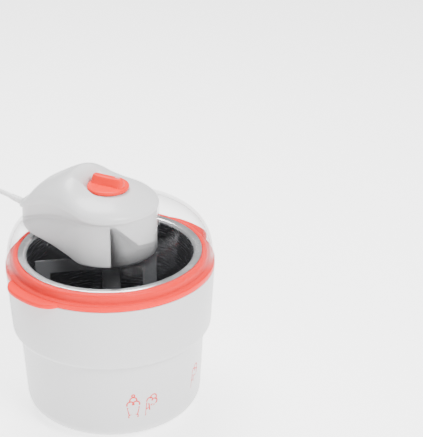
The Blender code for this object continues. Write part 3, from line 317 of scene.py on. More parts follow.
def ring_points(radius, z, sides, centre=(0, 0)):
    angles = [2 * pi * i / sides for i in range(sides)]
    return [Vector((centre[0] + radius * cos(a), centre[1] + radius * sin(a), z)) for a in angles]


def turned(profile, sides=128, centre=(0, 0), hollow=False):
    return loft([ring_points(r, z, sides, centre) for r, z in profile], closed=hollow)


def rod(radius, low, high, centre=(0, 0), sides=40):
    return turned([(radius, low), (radius, high)], sides, centre)


def arc(radius_centre, z_centre, radius, start, end, steps):
    return [(radius_centre + radius * cos(start + (end - start) * k / steps),
             z_centre + radius * sin(start + (end - start) * k / steps)) for k in range(steps + 1)]


def at_angle(radius, angle):
    return (radius * cos(angle), radius * sin(angle))


def squared(value, power):
    """A power that keeps the number's sign; below 1 it squares off a circle."""
    return abs(value) ** power * (1 if value >= 0 else -1)


def ease(t):
    """Runs smoothly from 0 to 1 as t does, and holds outside that."""
    t = min(1, max(0, t))
    return t * t * (3 - 2 * t)


def smooth(points, steps):
    """Finer points on a smooth curve that runs through the given ones."""
    pts = [Vector(p) for p in points]
    out = []
    for i in range(len(pts) - 1):
        a, b, c, d = pts[max(i - 1, 0)], pts[i], pts[i + 1], pts[min(i + 2, len(pts) - 1)]
        for k in range(steps):
            t = k / steps
            out.append(0.5 * (2 * b + (c - a) * t + (2 * a - 5 * b + 4 * c - d) * t * t
                              + (3 * b - a - 3 * c + d) * t ** 3))
    return out + [pts[-1]]


def curve_at(x, points):
    """Height at x on a smooth curve that runs through (place, height) pairs."""
    if x <= points[0][0]:
        return points[0][1]
    if x >= points[-1][0]:
        return points[-1][1]
    k = max(i for i in range(len(points) - 1) if points[i][0] <= x)

    def slope(i):
        a, b = points[max(i - 1, 0)], points[min(i + 1, len(points) - 1)]
        return (b[1] - a[1]) / (b[0] - a[0])

    (x0, y0), (x1, y1) = points[k], points[k + 1]
    w = x1 - x0
    t = (x - x0) / w
    return ((2 * t ** 3 - 3 * t * t + 1) * y0 + (t ** 3 - 2 * t * t + t) * w * slope(k)
            + (3 * t * t - 2 * t ** 3) * y1 + (t ** 3 - t * t) * w * slope(k + 1))


# ---------------------------------------------------------------- jacket and its prints

FOOT_ROUND, STEP_ROUND = 17.0 * MM, 7.0 * MM
PLATE_HOLE_R, SCREW_CIRCLE_R = 62.0 * MM, 66.5 * MM
SCREW_HEAD_R, SCREW_HEAD_T, SCREW_SHANK_R = 3.3 * MM, 1.8 * MM, 1.7 * MM
CAD_SIDES = 36
ROUND_SIDES = 160


def jacket():
    wall, foot = JACKET_WALL, FOOT_STAND
    top = COLLAR_Z - GAP
    profile = [(JACKET_TOP_R - wall, top)]
    profile += arc(JACKET_TOP_R - 0.7 * MM, top - 0.7 * MM, 0.7 * MM, pi / 2, 0, 4)
    profile += arc(JACKET_STEP_R - STEP_ROUND, STEP_Z + STEP_ROUND, STEP_ROUND, 0, -pi / 2, 12)
    profile += arc(JACKET_WAIST_R + 0.9 * MM, STEP_Z - 0.9 * MM, 0.9 * MM, pi / 2, pi, 4)[1:]
    profile += arc(JACKET_FOOT_R - FOOT_ROUND, foot + FOOT_ROUND, FOOT_ROUND, 0, -pi / 2, 16)
    profile += [(PLATE_HOLE_R, foot), (PLATE_HOLE_R, foot + wall)]
    profile += arc(JACKET_FOOT_R - FOOT_ROUND, foot + FOOT_ROUND, FOOT_ROUND - wall, -pi / 2, 0, 8)
    profile += [(JACKET_WAIST_R - wall, STEP_Z - wall), (JACKET_WAIST_R - wall, STEP_Z + wall),
                (JACKET_STEP_R - wall, STEP_Z + STEP_ROUND + wall)]
    shell = make("jacket", turned(profile, ROUND_SIDES, hollow=True), WHITE, "base",
                 ["outer_housing"])
    tools = []
    for k in range(4):
        spot = at_angle(SCREW_CIRCLE_R, pi / CAD_SIDES + k * pi / 2)
        tools.append(tool(f"head_{k}", rod(SCREW_HEAD_R, foot - 1 * MM, foot + SCREW_HEAD_T, spot)))
        tools.append(tool(f"shank_{k}", rod(SCREW_SHANK_R, foot, foot + 2 * wall, spot, 20)))
    cut(shell, tools)


def jacket_radius(z):
    """Radius of the jacket's lower wall at a height."""
    low = FOOT_STAND + FOOT_ROUND
    k = (z - low) / (STEP_Z - low)
    if z < low:
        drop = low - z
        return JACKET_FOOT_R - FOOT_ROUND + (FOOT_ROUND ** 2 - drop ** 2) ** 0.5
    return JACKET_FOOT_R + (JACKET_WAIST_R - JACKET_FOOT_R) * k


PRINT_LINE = 0.74 * MM      # half width of a printed line
PRINT_STAND = 0.06 * MM     # how far the ink stands off the wall
GLASS_SIZE = 1.3            # how much the glass is enlarged


def print_strip(bm, points, azimuth, z, closed=False, width=PRINT_LINE):
    """One inked line on the jacket: points are (along, up) in mm from the drawing's middle."""
    path = [Vector((x * MM, y * MM)) for x, y in points]
    n = len(path)
    sides = []
    for i, p in enumerate(path):
        before = path[(i - 1) % n] if closed or i else p
        after = path[(i + 1) % n] if closed or i < n - 1 else p
        run = (after - before).normalized()
        off = Vector((-run.y, run.x)) * width
        row = []
        for q in (p + off, p - off):
            height = z + q.y
            radius = jacket_radius(height)
            angle = azimuth + q.x / radius
            row.append([bm.verts.new((r * cos(angle), r * sin(angle), height))
                        for r in (radius + PRINT_STAND, radius - 0.3 * MM)])
        sides.append(row)
    count = n if closed else n - 1
    for i in range(count):
        (a, a_in), (b, b_in) = sides[i]
        (c, c_in), (d, d_in) = sides[(i + 1) % n]
        for face in ((a, b, d, c), (a, c, c_in, a_in), (b, b_in, d_in, d), (a_in, c_in, d_in, b_in)):
            bm.faces.new(face)
    if not closed:
        for (a, a_in), (b, b_in) in (sides[0], sides[-1]):
            bm.faces.new((a, a_in, b_in, b))


def bow(cx, cy, rx, ry, start, end, steps=16):
    """A stretch of an ellipse from one angle to another, in degrees."""
    angles = [radians(start + (end - start) * k / steps) for k in range(steps + 1)]
    return [(cx + rx * cos(a), cy + ry * sin(a)) for a in angles]


def prints():
    """Plain line drawings of a dessert glass and two cones, of no maker's design."""
    bm = bmesh.new()
    glass, cone, side_cone = radians(-74.4), radians(-63), radians(-24)
    low = 42 * MM
    for points, closed in (
            ([(-4.6, -1.5), (-3.2, -8), (3.2, -8), (4.6, -1.5)], True),
            (bow(-2.2, 1.2, 2.7, 2.8, 200, -10), False), (bow(2.2, 1.2, 2.7, 2.8, 190, -20), False),
            (bow(0, 4.8, 2.7, 2.8, 210, -30), False),
            ([(-3.4, -8.2), (-3.9, -10), (3.9, -10), (3.4, -8.2)], False),
            (bow(0, 9.0, 1.1, 1.1, 0, 340, 10), True)):
        print_strip(bm, [(GLASS_SIZE * x, GLASS_SIZE * y) for x, y in points], glass, low, closed)
    tilt = -0.42
    for azimuth, height, size in ((cone, low - 1 * MM, 1.25), (side_cone, 48 * MM, 1.3)):
        def place(points):
            return [(size * (x * cos(tilt) - y * sin(tilt)), size * (x * sin(tilt) + y * cos(tilt)))
                    for x, y in points]
        for points, closed in (
                ([(-3.6, 0), (0, -11), (3.6, 0)], True), ([(-1.6, -0.2), (1.6, -5.6)], False),
                ([(1.6, -0.2), (-1.6, -5.6)], False), (bow(-2.1, 2.6, 2.4, 2.6, 220, 0), False),
                (bow(2.1, 2.6, 2.4, 2.6, 180, -40), False), (bow(0, 5.8, 2.5, 2.8, 215, -35), False)):
            print_strip(bm, place(points), azimuth, height, closed, PRINT_LINE * 0.9)
    make("dessert_prints", bm, PRINT, "base")


# ---------------------------------------------------------------- collar

TAB_R, TAB_T, TAB_HALF = 114.0 * MM, 5.0 * MM, radians(19)
TAB_AZIMUTHS = (radians(-134), radians(46))
TONGUE_IN_R, TONGUE_OUT_R, TONGUE_DROP = 97.3 * MM, 99.3 * MM, 9.0 * MM
MARK_AZIMUTH = radians(-97)
MARK_HALF = 0.22            # half width of a mark's line in mm
MARK_STAND = 0.22 * MM      # how far a mark stands off the collar


def collar():
    seat = RIM_Z - RIM_T - GAP
    low, ledge, top = COLLAR_Z, FLANGE_Z, RIM_Z - 0.5 * MM
    inner = RIM_R + 0.6 * MM
    bore = SHELL_TOP_R + 1.4 * MM
    profile = [(JACKET_TOP_R - 0.5 * MM, low)]
    profile += arc(JACKET_TOP_R - 0.5 * MM, low + 0.5 * MM, 0.5 * MM, -pi / 2, 0, 3)
    profile += arc(JACKET_TOP_R - 1.4 * MM, ledge - 1.4 * MM, 1.4 * MM, 0, pi / 2, 6)
    profile += arc(COLLAR_R + 0.8 * MM, ledge + 0.8 * MM, 0.8 * MM, -pi / 2, -pi, 4)
    profile += arc(COLLAR_R - 3.8 * MM, top - 3.6 * MM, 3.6 * MM, 0, pi / 2, 10)
    profile += arc(inner + 0.5 * MM, top - 0.5 * MM, 0.5 * MM, pi / 2, pi, 3)
    profile += [(inner, seat), (bore, seat), (bore, low + 4.4 * MM), (bore + 2.2 * MM, low + 4.4 * MM),
                (bore + 2.2 * MM, seat - 4.8 * MM), (COLLAR_R - 2.2 * MM, seat - 4.8 * MM),
                (COLLAR_R - 2.2 * MM, low + 2.2 * MM), (TONGUE_IN_R, low), (TONGUE_IN_R, low - TONGUE_DROP),
                (TONGUE_OUT_R, low - TONGUE_DROP), (TONGUE_OUT_R, low)]
    ring = make("coral_collar", turned(profile, ROUND_SIDES, hollow=True), CORAL, "collar",
                ["collar_ring"])
    tabs = [tab(f"tab_{k}", azimuth) for k, azimuth in enumerate(TAB_AZIMUTHS)]
    cut(ring, tabs, "UNION")
    lock_marks()


def tab(name, azimuth):
    """A finger tab: a crescent with round edges whose ends run into the collar's flange."""
    low, high, steps = COLLAR_Z + 0.02 * MM, COLLAR_Z + TAB_T, 40
    inner = JACKET_TOP_R - 2.5 * MM

    def outline(grow, z):
        loop = []
        for i in range(steps + 1):
            k = i / steps * 2 - 1
            reach = JACKET_TOP_R + (TAB_R + grow - JACKET_TOP_R) * (1 - k ** 4) ** 0.7 - 0.4 * MM * k ** 4
            loop.append(Vector((*at_angle(reach, azimuth + k * TAB_HALF), z)))
        for i in range(steps, -1, -1):
            loop.append(Vector((*at_angle(inner, azimuth + (i / steps * 2 - 1) * TAB_HALF), z)))
        return loop

    rnd = 1.8 * MM
    quarter = [pi / 2 * k / 5 for k in range(6)]
    loops = [outline(-rnd * (1 - sin(a)), low + rnd * (1 - cos(a))) for a in quarter]
    loops += [outline(-rnd * (1 - cos(a)), high - rnd + rnd * sin(a)) for a in quarter]
    bm, rows = skin(loops)
    n = len(rows[0])
    for row in (rows[0], rows[-1]):
        for i in range(steps):
            bm.faces.new((row[i], row[i + 1], row[n - 2 - i], row[n - 1 - i]))
    return tool(name, bm, CORAL)


def lock_marks():
    """Raised closing marks on the collar's front: a slim frame and a small arrow head."""
    bm = bmesh.new()
    z = (COLLAR_Z + FLANGE_Z) / 2
    frame_mark = [(-6, -1.9), (6, -1.9), (6, 1.9), (-6, 1.9)]
    arrow_mark = [(-13.5, 1.5), (-10, 1.5), (-11.75, -1.5)]
    for points in (frame_mark, arrow_mark):
        path = points + [points[0]]
        for (x0, y0), (x1, y1) in zip(path[:-1], path[1:]):
            run = Vector((x1 - x0, y1 - y0)).normalized()
            off = Vector((-run.y, run.x)) * MARK_HALF
            rows = []
            for x, y in ((x0, y0), (x1, y1)):
                for side in (1, -1):
                    angle = MARK_AZIMUTH + (x + side * off.x) * MM / JACKET_TOP_R
                    height = z + (y + side * off.y) * MM
                    rows.append([bm.verts.new((*at_angle(JACKET_TOP_R + lift, angle), height))
                                 for lift in (MARK_STAND, -0.3 * MM)])
            (a, a2), (b, b2), (c, c2), (d, d2) = rows
            for face in ((a, b, d, c), (a, c, c2, a2), (b, b2, d2, d),
                         (a2, c2, d2, b2), (a, a2, b2, b), (c, d, d2, c2)):
                bm.faces.new(face)
    make("collar_lock_marks", bm, CORAL, "collar")


# ---------------------------------------------------------------- bowl

def bowl():
    flange = RIM_Z - RIM_T
    rnd, wall = POT_ROUND, POT_WALL
    inner = [(6 * MM, POT_FLOOR_Z)] + arc(POT_FOOT_R - rnd, POT_FLOOR_Z + rnd, rnd, -pi / 2, 0, 12)
    inner += [(POT_TOP_R, RIM_Z - 4 * MM)]
    rim = arc(POT_TOP_R + 4 * MM, RIM_Z - 4 * MM, 4 * MM, pi, pi / 2, 8)[1:]
    rim += arc(RIM_R - 0.8 * MM, RIM_Z - 0.8 * MM, 0.8 * MM, pi / 2, -pi / 2, 8)
    rim += [(POT_TOP_R + wall + 2.0 * MM, flange), (POT_TOP_R + wall, flange - 1.5 * MM)]
    outer = arc(POT_FOOT_R - rnd, POT_FLOOR_Z + rnd, rnd + wall, 0, -pi / 2, 8)
    outer.append((6 * MM, POT_FLOOR_Z - wall))
    make("spun_bowl", turned(inner + rim + outer, ROUND_SIDES), BOWL, "bowl", ["inner_bowl"])


# ---------------------------------------------------------------- drive unit

FLOOR_LINE = ((-50, 1.5), (0, 1.5), (14, 1.5), (26, 5.5), (47, 10.5), (76, 14.5), (95, 20))
LIP_LINE = ((-50, 48.3), (-4, 48.6), (18, 53.6), (40, 56), (58, 52), (80, 41), (95, 33))
CROWN_LINE = ((-50, 55), (-44, 59), (-22, 64.5), (4, 67), (14, 71), (22, 77.3), (29, 80.3), (36, 79.8),
              (45, 76.3), (57, 70), (68, 63.5), (76, 57), (83, 49.5), (88, 42), (95, 37))
LIP_EDGE = ((0.3, -0.5), (0.45, -0.12), (0.8, 0), (2.6, 0.3))     # up from the lip line, past the overhang
CORD_START = Vector((-0.1002, 0.0417, 0.2070))
CORD_SECOND = Vector((-0.1080, 0.0450, 0.2094))


def line_z(line, s):
    """Height of one of the lines above, a distance s along the arm from the bowl's axis."""
    return RIM_Z + curve_at(s / MM, line) * MM


def drop_outline(end_steps=40, side_steps=22, drum_steps=64):
    """Round the drive unit's plan: each point's foot on the spine, its radius and its direction."""
    tilt = acos((DRUM_R - ARM_END_R) / ARM_LENGTH)
    points = [(ARM_LENGTH, ARM_END_R, tilt * i / (end_steps / 2)) for i in range(end_steps // 2)]
    for i in range(side_steps + 1):
        k = i / side_steps
        points.append((ARM_LENGTH * (1 - k), ARM_END_R + (DRUM_R - ARM_END_R) * k, tilt))
    points += [(0.0, DRUM_R, tilt + (pi - tilt) * i / (drum_steps / 2))
               for i in range(1, drum_steps // 2 + 1)]
    return points + [(s, r, -a) for s, r, a in points[-2:0:-1]]


DROP = drop_outline()


def drop_ring(height, offset=0.0, share=1.0):
    """The plan's outline, shrunk to a share and grown by an offset, at one height or a rule for it."""
    loop = []
    for s, r, a in DROP:
        reach = r * share + offset
        spot = (s + reach * cos(a), reach * sin(a))
        z = height(spot[0], s + r * cos(a)) if callable(height) else height
        loop.append(ARM * spot[0] + SIDE * spot[1] + Vector((0, 0, z)))
    return loop


def drop_solid(loops):
    """A solid over a run of such outlines, with ends made of strips across the arm."""
    bm, rows = skin(loops)
    n = len(rows[0])
    half = n // 2
    for row in (rows[0], rows[-1]):
        bm.faces.new((row[0], row[1], row[n - 1]))
        for i in range(1, half - 1):
            bm.faces.new((row[i], row[i + 1], row[n - i - 1], row[n - i]))
        bm.faces.new((row[half - 1], row[half], row[half + 1]))
    return bm


def floor_height(extra=0.0):
    return lambda s, edge: line_z(FLOOR_LINE, s) + extra


def lip_height(extra=0.0):
    return lambda s, edge: line_z(LIP_LINE, edge) + extra


def crown_height(share, sink=0.0):
    rise = (1 - share ** 3.0) ** 0.6

    def height(s, edge):
        low = line_z(LIP_LINE, edge) + 4 * MM
        return low + max(line_z(CROWN_LINE, s) - low, 0.5 * MM) * rise - sink
    return height


CROWN_SHARES = (0.995, 0.985, 0.965, 0.93, 0.88, 0.82, 0.75, 0.67, 0.58, 0.48, 0.38, 0.28, 0.18, 0.09)


def cord_axis():
    turn = (CORD_SECOND - CORD_START).to_track_quat("Z", "Y").to_matrix().to_4x4()
    return Matrix.Translation(CORD_START) @ turn


def cord_hole():
    bm = rod(4.3 * MM, -21 * MM, 4 * MM, sides=32)
    bmesh.ops.transform(bm, matrix=cord_axis(), verts=bm.verts)
    return tool("cord", bm)


def lower_cover():
    rnd = 3.0 * MM
    rows = [drop_ring(floor_height(rnd * (1 - cos(pi / 2 * k / 5))), -rnd * (1 - sin(pi / 2 * k / 5)))
            for k in range(6)]
    for k in range(1, 9):
        rows.append(drop_ring(blended_wall(k / 8, rnd), 0.0))
    rows.append(drop_ring(lip_height(), -COVER_WALL))
    rows.append(drop_ring(floor_height(rnd + COVER_WALL / 2), -COVER_WALL))
    rows.append(drop_ring(floor_height(COVER_WALL), -COVER_WALL - 2.0 * MM))
    cover = make("drive_lower_cover", drop_solid(rows), WHITE, "drive", ["lower_cover"])
    tools = [tool("bush", rod(5.3 * MM, RIM_Z - 2 * MM, RIM_Z + 12 * MM)), cord_hole()]
    for s, t in ((-14, 34), (-14, -34), (80, 0)):
        spot = ARM * s * MM + SIDE * t * MM
        floor = line_z(FLOOR_LINE, s * MM)
        tools.append(tool("sink", rod(SCREW_HEAD_R, floor - 3 * MM, floor + 3.4 * MM, spot.xy)))
    cut(cover, tools)


def blended_wall(k, rnd):
    """Height of a loop a share k of the way up the lower cover's wall."""
    def height(s, edge):
        low, high = line_z(FLOOR_LINE, s) + rnd, line_z(LIP_LINE, edge)
        return low + (high - low) * k
    return height


def upper_cover():
    wall = COVER_WALL
    outer = [drop_ring(lip_height(up * MM), LIP_OVERHANG + past * MM) for up, past in LIP_EDGE]
    outer += [drop_ring(crown_height(c), LIP_OVERHANG * c, c) for c in CROWN_SHARES]
    inner = [drop_ring(crown_height(c, wall), -wall * c, c) for c in CROWN_SHARES[3::2][::-1]]
    inner.append(drop_ring(lip_height(GAP), -wall))
    cover = make("drive_upper_cover", drop_solid(inner + outer), WHITE, "drive",
                 ["upper_cover"])
    seat = RIM_Z + SEAT_Z
    sink = wall / 2
    core = [drop_ring(lip_height(GAP), LIP_OVERHANG - sink)]
    core += [drop_ring(crown_height(c, sink), (LIP_OVERHANG - sink) * c, c) for c in CROWN_SHARES[2::2]]
    boss = tool("boss", rod(SEAT_R + SEAT_FLARE, seat - wall, seat + 30 * MM, sides=96))
    cut(boss, [tool("hull", drop_solid(core))], "INTERSECT")
    cut(cover, [boss], "UNION")
    dish = arc(SEAT_R - 1.2 * MM, seat + 1.2 * MM, 1.2 * MM, -pi / 2, 0, 5)
    dish += [(SEAT_R + 0.6 * MM, seat + 3.4 * MM), (SEAT_R + 1.8 * MM, seat + 6 * MM),
             (SEAT_R + 0.38 * SEAT_FLARE, seat + 9 * MM), (SEAT_R + 0.66 * SEAT_FLARE, seat + 11.8 * MM),
             (SEAT_R + SEAT_FLARE, seat + 14 * MM), (SEAT_R + 2 * SEAT_FLARE, seat + 17 * MM),
             (SEAT_R + 2 * SEAT_FLARE, seat + 40 * MM)]
    hole = rod(SPINDLE_HOLE_R, seat - 9 * MM, seat + 9 * MM)
    cut(cover, [tool("dish", turned(dish)), tool("spindle", hole), cord_hole()])


SPINDLE_HOLE_R = 3.3 * MM
GRIP_TURN = Matrix.Rotation(radians(-28), 4, "Z")
GRIP_LONG = KNOB_R - 2.6 * MM
GRIP_H = 12.9 * MM
GRIP_LEVELS = ((1, 7.4, 1.0), (4.5, 6.2, 0.985), (8, 5.2, 0.95), (11, 4.4, 0.90), (12.4, 3.9, 0.86),
               (12.9, 3.0, 0.80))       # height and half width in mm, share of the length
GRIP_STEPS = 96


def knob():
    """A round switch knob: a rounded disc with a scooped grip across it."""
    low = RIM_Z + SEAT_Z + GAP
    top = low + 3.6 * MM
    disc = arc(KNOB_R - 0.6 * MM, low + 0.6 * MM, 0.6 * MM, -pi / 2, 0, 4)
    disc += arc(KNOB_R - 1.8 * MM, top - 1.8 * MM, 1.8 * MM, 0, pi / 2, 8)
    disc += [(KNOB_R * 0.7, top + 0.2 * MM), (KNOB_R * 0.35, top + 0.4 * MM)]
    ob = make("knob_disc_and_grip", turned(disc), KNOB_CORAL, "knob", ["switch_knob"])
    loops = [grip_loop(low + up * MM, half * MM, share, low) for up, half, share in GRIP_LEVELS]
    cut(ob, [tool("grip", loft(loops), KNOB_CORAL)], "UNION")
    soften(ob, 0.5 * MM, 3, 38)
    cut(ob, [tool("socket", rod(SPINDLE_HOLE_R, low - 1 * MM, low + 6 * MM), KNOB_CORAL)])
    make("knob_pointer", pointer(low + GRIP_H), WHITE, "knob")


def grip_loop(z, half, share, low):
    """One level of the grip: a waisted bar whose middle dips towards the top."""
    loop = []
    for i in range(GRIP_STEPS):
        a = 2 * pi * i / GRIP_STEPS
        x = GRIP_LONG * share * squared(cos(a), 0.55)
        inward = 1 - (x / GRIP_LONG) ** 2
        y = half * (1 - 0.16 * inward) * squared(sin(a), 0.5)
        dip = 1.0 * MM * inward * max(0.0, (z - low - 6 * MM) / (7 * MM))
        loop.append(GRIP_TURN @ Vector((x, y, z - dip)))
    return loop


def pointer(z):
    """A slim white pointer set into the grip's front end."""
    bm = bmesh.new()
    bmesh.ops.create_cube(bm, size=1.0)
    bmesh.ops.scale(bm, vec=(5.0 * MM, 1.1 * MM, 0.5 * MM), verts=bm.verts)
    bmesh.ops.bevel(bm, geom=bm.edges[:], offset=0.15 * MM, segments=2, affect="EDGES")
    bmesh.ops.translate(bm, vec=(GRIP_LONG * 0.60, 0, z - 0.35 * MM), verts=bm.verts)
    bmesh.ops.transform(bm, matrix=GRIP_TURN, verts=bm.verts)
    return bm


# ---------------------------------------------------------------- lid

LID_PROFILE = ((103.0, -8.7), (101.6, -4), (100.7, 4), (98.9, 12), (94.8, 20.5), (89.6, 26.8), (83, 31.8),
               (74, 36.8), (62, 42.4), (52, 46.6))
NOTCH_AZIMUTH, NOTCH_INNER_HALF, NOTCH_OUTER_HALF = radians(-45), radians(40), radians(19.5)
NOTCH_R, NOTCH_DEEP_Z, NOTCH_TAPER = 77.0 * MM, -3.5 * MM, 0.9


def lid_outline(grow, low):
    """The dome as a solid, drawn in by a wall's thickness or not at all, down to a height."""
    profile = [(LID_PROFILE[0][0] * MM - grow, low)] if grow else []
    profile += [(r * MM - grow, RIM_Z + z * MM - grow * min(1, max(0, (z - 4) / 22)))
                for r, z in smooth(LID_PROFILE, 4)]
    last_r, last_z = profile[-1]
    return turned(profile + [(last_r * 0.8, last_z + 0.7 * MM)], 144)


def notch_ring(z, share, grow=0.0):
    """The pouring notch's outline at a height: wide by the drum, narrow towards the dome's edge."""
    near, far = (DRUM_R + 1.2 * MM - grow), (NOTCH_R * share + grow)
    inner_half = NOTCH_INNER_HALF * (1 + grow / (30 * MM))
    outer_half = NOTCH_OUTER_HALF * (1 + grow / (26 * MM))
    loop = [Vector((*at_angle(near, NOTCH_AZIMUTH + inner_half * k / 14), z)) for k in range(-14, 15)]
    loop += [Vector((*at_angle(far, NOTCH_AZIMUTH - outer_half * k / 10), z)) for k in range(-10, 11)]
    return loop


def lid():
    foot = RIM_Z + LID_PROFILE[0][1] * MM
    ob = make("clear_dome", lid_outline(0, foot), CLEAR, "lid", ["clear_lid"])
    inside = tool("inside", lid_outline(LID_WALL, foot - 4 * MM), CLEAR)
    sky = RIM_Z + 70 * MM
    low, high = RIM_Z + NOTCH_DEEP_Z, RIM_Z + 60 * MM
    well = [drop_ring(floor_height(-WELL_FLOOR_GAP - LID_WALL), WELL_GAP + LID_WALL),
            drop_ring(sky, WELL_GAP + LID_WALL)]
    keep = loft([notch_ring(low, NOTCH_TAPER, LID_WALL), notch_ring(high, 1.0, LID_WALL)])
    cut(inside, [tool("well", drop_solid(well), CLEAR), tool("keep", keep, CLEAR)])
    room = [drop_ring(floor_height(-WELL_FLOOR_GAP), WELL_GAP), drop_ring(sky, WELL_GAP)]
    mouth = loft([notch_ring(low - 2 * MM, NOTCH_TAPER), notch_ring(high + 2 * MM, 1.0)])
    hole = rod(11 * MM, RIM_Z - 12 * MM, RIM_Z + 12 * MM, sides=48)
    cut(ob, [inside, tool("room", drop_solid(room), CLEAR), tool("mouth", mouth, CLEAR),
             tool("hole", hole, CLEAR)])
    soften(ob, 0.35 * MM, 2, 40)


# ---------------------------------------------------------------- paddle

PADDLE_FOOT_Z, PADDLE_TOP_Z = RIM_Z - 116 * MM, RIM_Z - 5.5 * MM
PADDLE_REACH, PADDLE_BACK, PADDLE_HALF = 74.0 * MM, 0.62, 1.5 * MM
PADDLE_BAR, PADDLE_LEG, PADDLE_SHOE = 15.0 * MM, 14.0 * MM, 12.0 * MM
PADDLE_TURN = Matrix.Rotation(radians(190), 4, "Z")


def paddle():
    """A hub with a top bar, two legs and a foot bar; legs and foot are a little thinner than the bar."""
    low, high, reach, half = PADDLE_FOOT_Z, PADDLE_TOP_Z, PADDLE_REACH, PADDLE_HALF
    hub = arc(8.2 * MM, high - 0.8 * MM, 0.8 * MM, pi / 2, 0, 4)
    hub += [(9.4 * MM, high - 18 * MM), (9.6 * MM, (low + high) / 2), (10.5 * MM, low)]
    ob = make("stirring_paddle", turned(hub, 64), SMOKE, "paddle", ["paddle"])
    back = -reach * (PADDLE_BACK - 0.005)
    bars = (((-reach * PADDLE_BACK, -half, high - PADDLE_BAR), (reach, half, high - 2 * MM)),
            ((reach - PADDLE_LEG, -half * 0.98, low), (reach * 0.995, half * 0.98, high - 6 * MM)),
            ((back, -half * 0.98, low + PADDLE_SHOE), (back + PADDLE_LEG, half * 0.98, high - 6 * MM)),
            ((-2 * MM, -half * 0.96, low + 0.4 * MM), (reach * 0.99, half * 0.96, low + PADDLE_SHOE)))
    cut(ob, [paddle_bar(f"bar_{k}", Vector(a), Vector(b)) for k, (a, b) in enumerate(bars)], "UNION")
    socket = turned([(5.5 * MM, RIM_Z - 17 * MM), (5.5 * MM, high + 1 * MM)], 6)
    cut(ob, [tool("hex", socket, SMOKE)])
    soften(ob, 0.6 * MM, 3, 40)


def paddle_bar(name, low, high):
    """A box between two corners, turned to where the paddle stands."""
    bm = bmesh.new()
    bmesh.ops.create_cube(bm, size=1.0)
    bmesh.ops.scale(bm, vec=high - low, verts=bm.verts)
    bmesh.ops.translate(bm, vec=(low + high) / 2, verts=bm.verts)
    bmesh.ops.transform(bm, matrix=PADDLE_TURN, verts=bm.verts)
    return tool(name, bm, SMOKE)


# ---------------------------------------------------------------- mains lead

CORD_ROUTE = (CORD_START, CORD_SECOND, (-0.1185, 0.0493, 0.2116),
              (-0.1320, 0.0550, 0.2110), (-0.1450, 0.0600, 0.2040), (-0.1550, 0.0640, 0.1880),
              (-0.1603, 0.0655, 0.1620), (-0.1630, 0.0660, 0.1280), (-0.1653, 0.0655, 0.0900),
              (-0.1680, 0.0630, 0.0520), (-0.1745, 0.0590, 0.0220), (-0.1850, 0.0500, 0.0075),
              (-0.1990, 0.0440, 0.0030), (-0.2130, 0.0460, 0.0026), (-0.2225, 0.0560, 0.0026),
              (-0.2255, 0.0690, 0.0026), (-0.2240, 0.0820, 0.0026), (-0.2195, 0.0905, 0.0026),
              (-0.2165, 0.0970, 0.0028))
TAIL_ROUTE = ((-0.2172, 0.1140, 0.0056), (-0.2182, 0.1230, 0.0040), (-0.2188, 0.1330, 0.0028),
              (-0.2182, 0.1440, 0.0027), (-0.2152, 0.1540, 0.0034), (-0.2080, 0.1622, 0.0058),
              (-0.1999, 0.1640, 0.0074))
COIL_TURNS = 4
COIL_IN_R, COIL_OUT_R = 25.4 * MM, 30.7 * MM
COIL_START, COIL_OVERRUN = radians(196), radians(16)
COIL_LOW_Z, COIL_RISE = 2.8 * MM, 4.9 * MM


def coil_points(per_turn=24):
    """Four turns wound clockwise: two inwards on the floor, then two outwards on top of them."""
    points = []
    for i in range(1, COIL_TURNS * per_turn):
        turns = i / per_turn
        angle = COIL_START - (2 * pi + COIL_OVERRUN / COIL_TURNS) * turns
        inward = turns / 2 if turns < 2 else (COIL_TURNS - turns) / 2
        radius = COIL_OUT_R - (COIL_OUT_R - COIL_IN_R) * ease((inward - 0.42) / 0.16)
        x, y = at_angle(radius, angle)
        points.append((COIL_CENTRE[0] + x, COIL_CENTRE[1] + y,
                       COIL_LOW_Z + COIL_RISE * ease((turns - 1.8) / 0.4)))
    return points


def smooth_route(route, spacing):
    """Evenly spaced points along a smooth curve through the route, and its length."""
    dense = smooth(route, 16)
    out, want, walked = [dense[0]], spacing, 0.0
    for p, q in zip(dense[:-1], dense[1:]):
        step = (q - p).length
        while walked + step >= want:
            out.append(p.lerp(q, (want - walked) / step))
            want += spacing
        walked += step
    return out + [dense[-1]], walked


def lead():
    route = list(CORD_ROUTE) + coil_points() + list(TAIL_ROUTE)
    points, length = smooth_route(route, CORD_D * 0.8)
    curve = bpy.data.curves.new("mains_cord", "CURVE")
    curve.dimensions = "3D"
    curve.bevel_depth = CORD_D / 2
    curve.bevel_resolution = 6
    curve.use_fill_caps = True
    spline = curve.splines.new("POLY")
    spline.points.add(len(points) - 1)
    for point, co in zip(spline.points, points):
        point.co = (*co, 1.0)
    curve.materials.append(LEAD)
    cord = bpy.data.objects.new("mains_cord", curve)
    bpy.context.scene.collection.objects.link(cord)
    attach(cord, "drive")
    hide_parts("power_cord", "cord_coil", "cord_tail")
    body, tie = plug_body(), cord_tie()
    print("cord length", round(length, 4))
    relief()


PLUG_LENGTH, PLUG_MID_Z = 35.0 * MM, 7.4 * MM
PLUG_WIDTHS = ((0, 6.0), (8, 7.6), (40, 11.6), (75, 15.6), (92, 17.2), (100, 16.6))     # % along, half in mm
PLUG_HEIGHTS = ((0, 3.7), (8, 5.2), (30, 6.6), (75, 6.9), (92, 6.9), (100, 6.3))


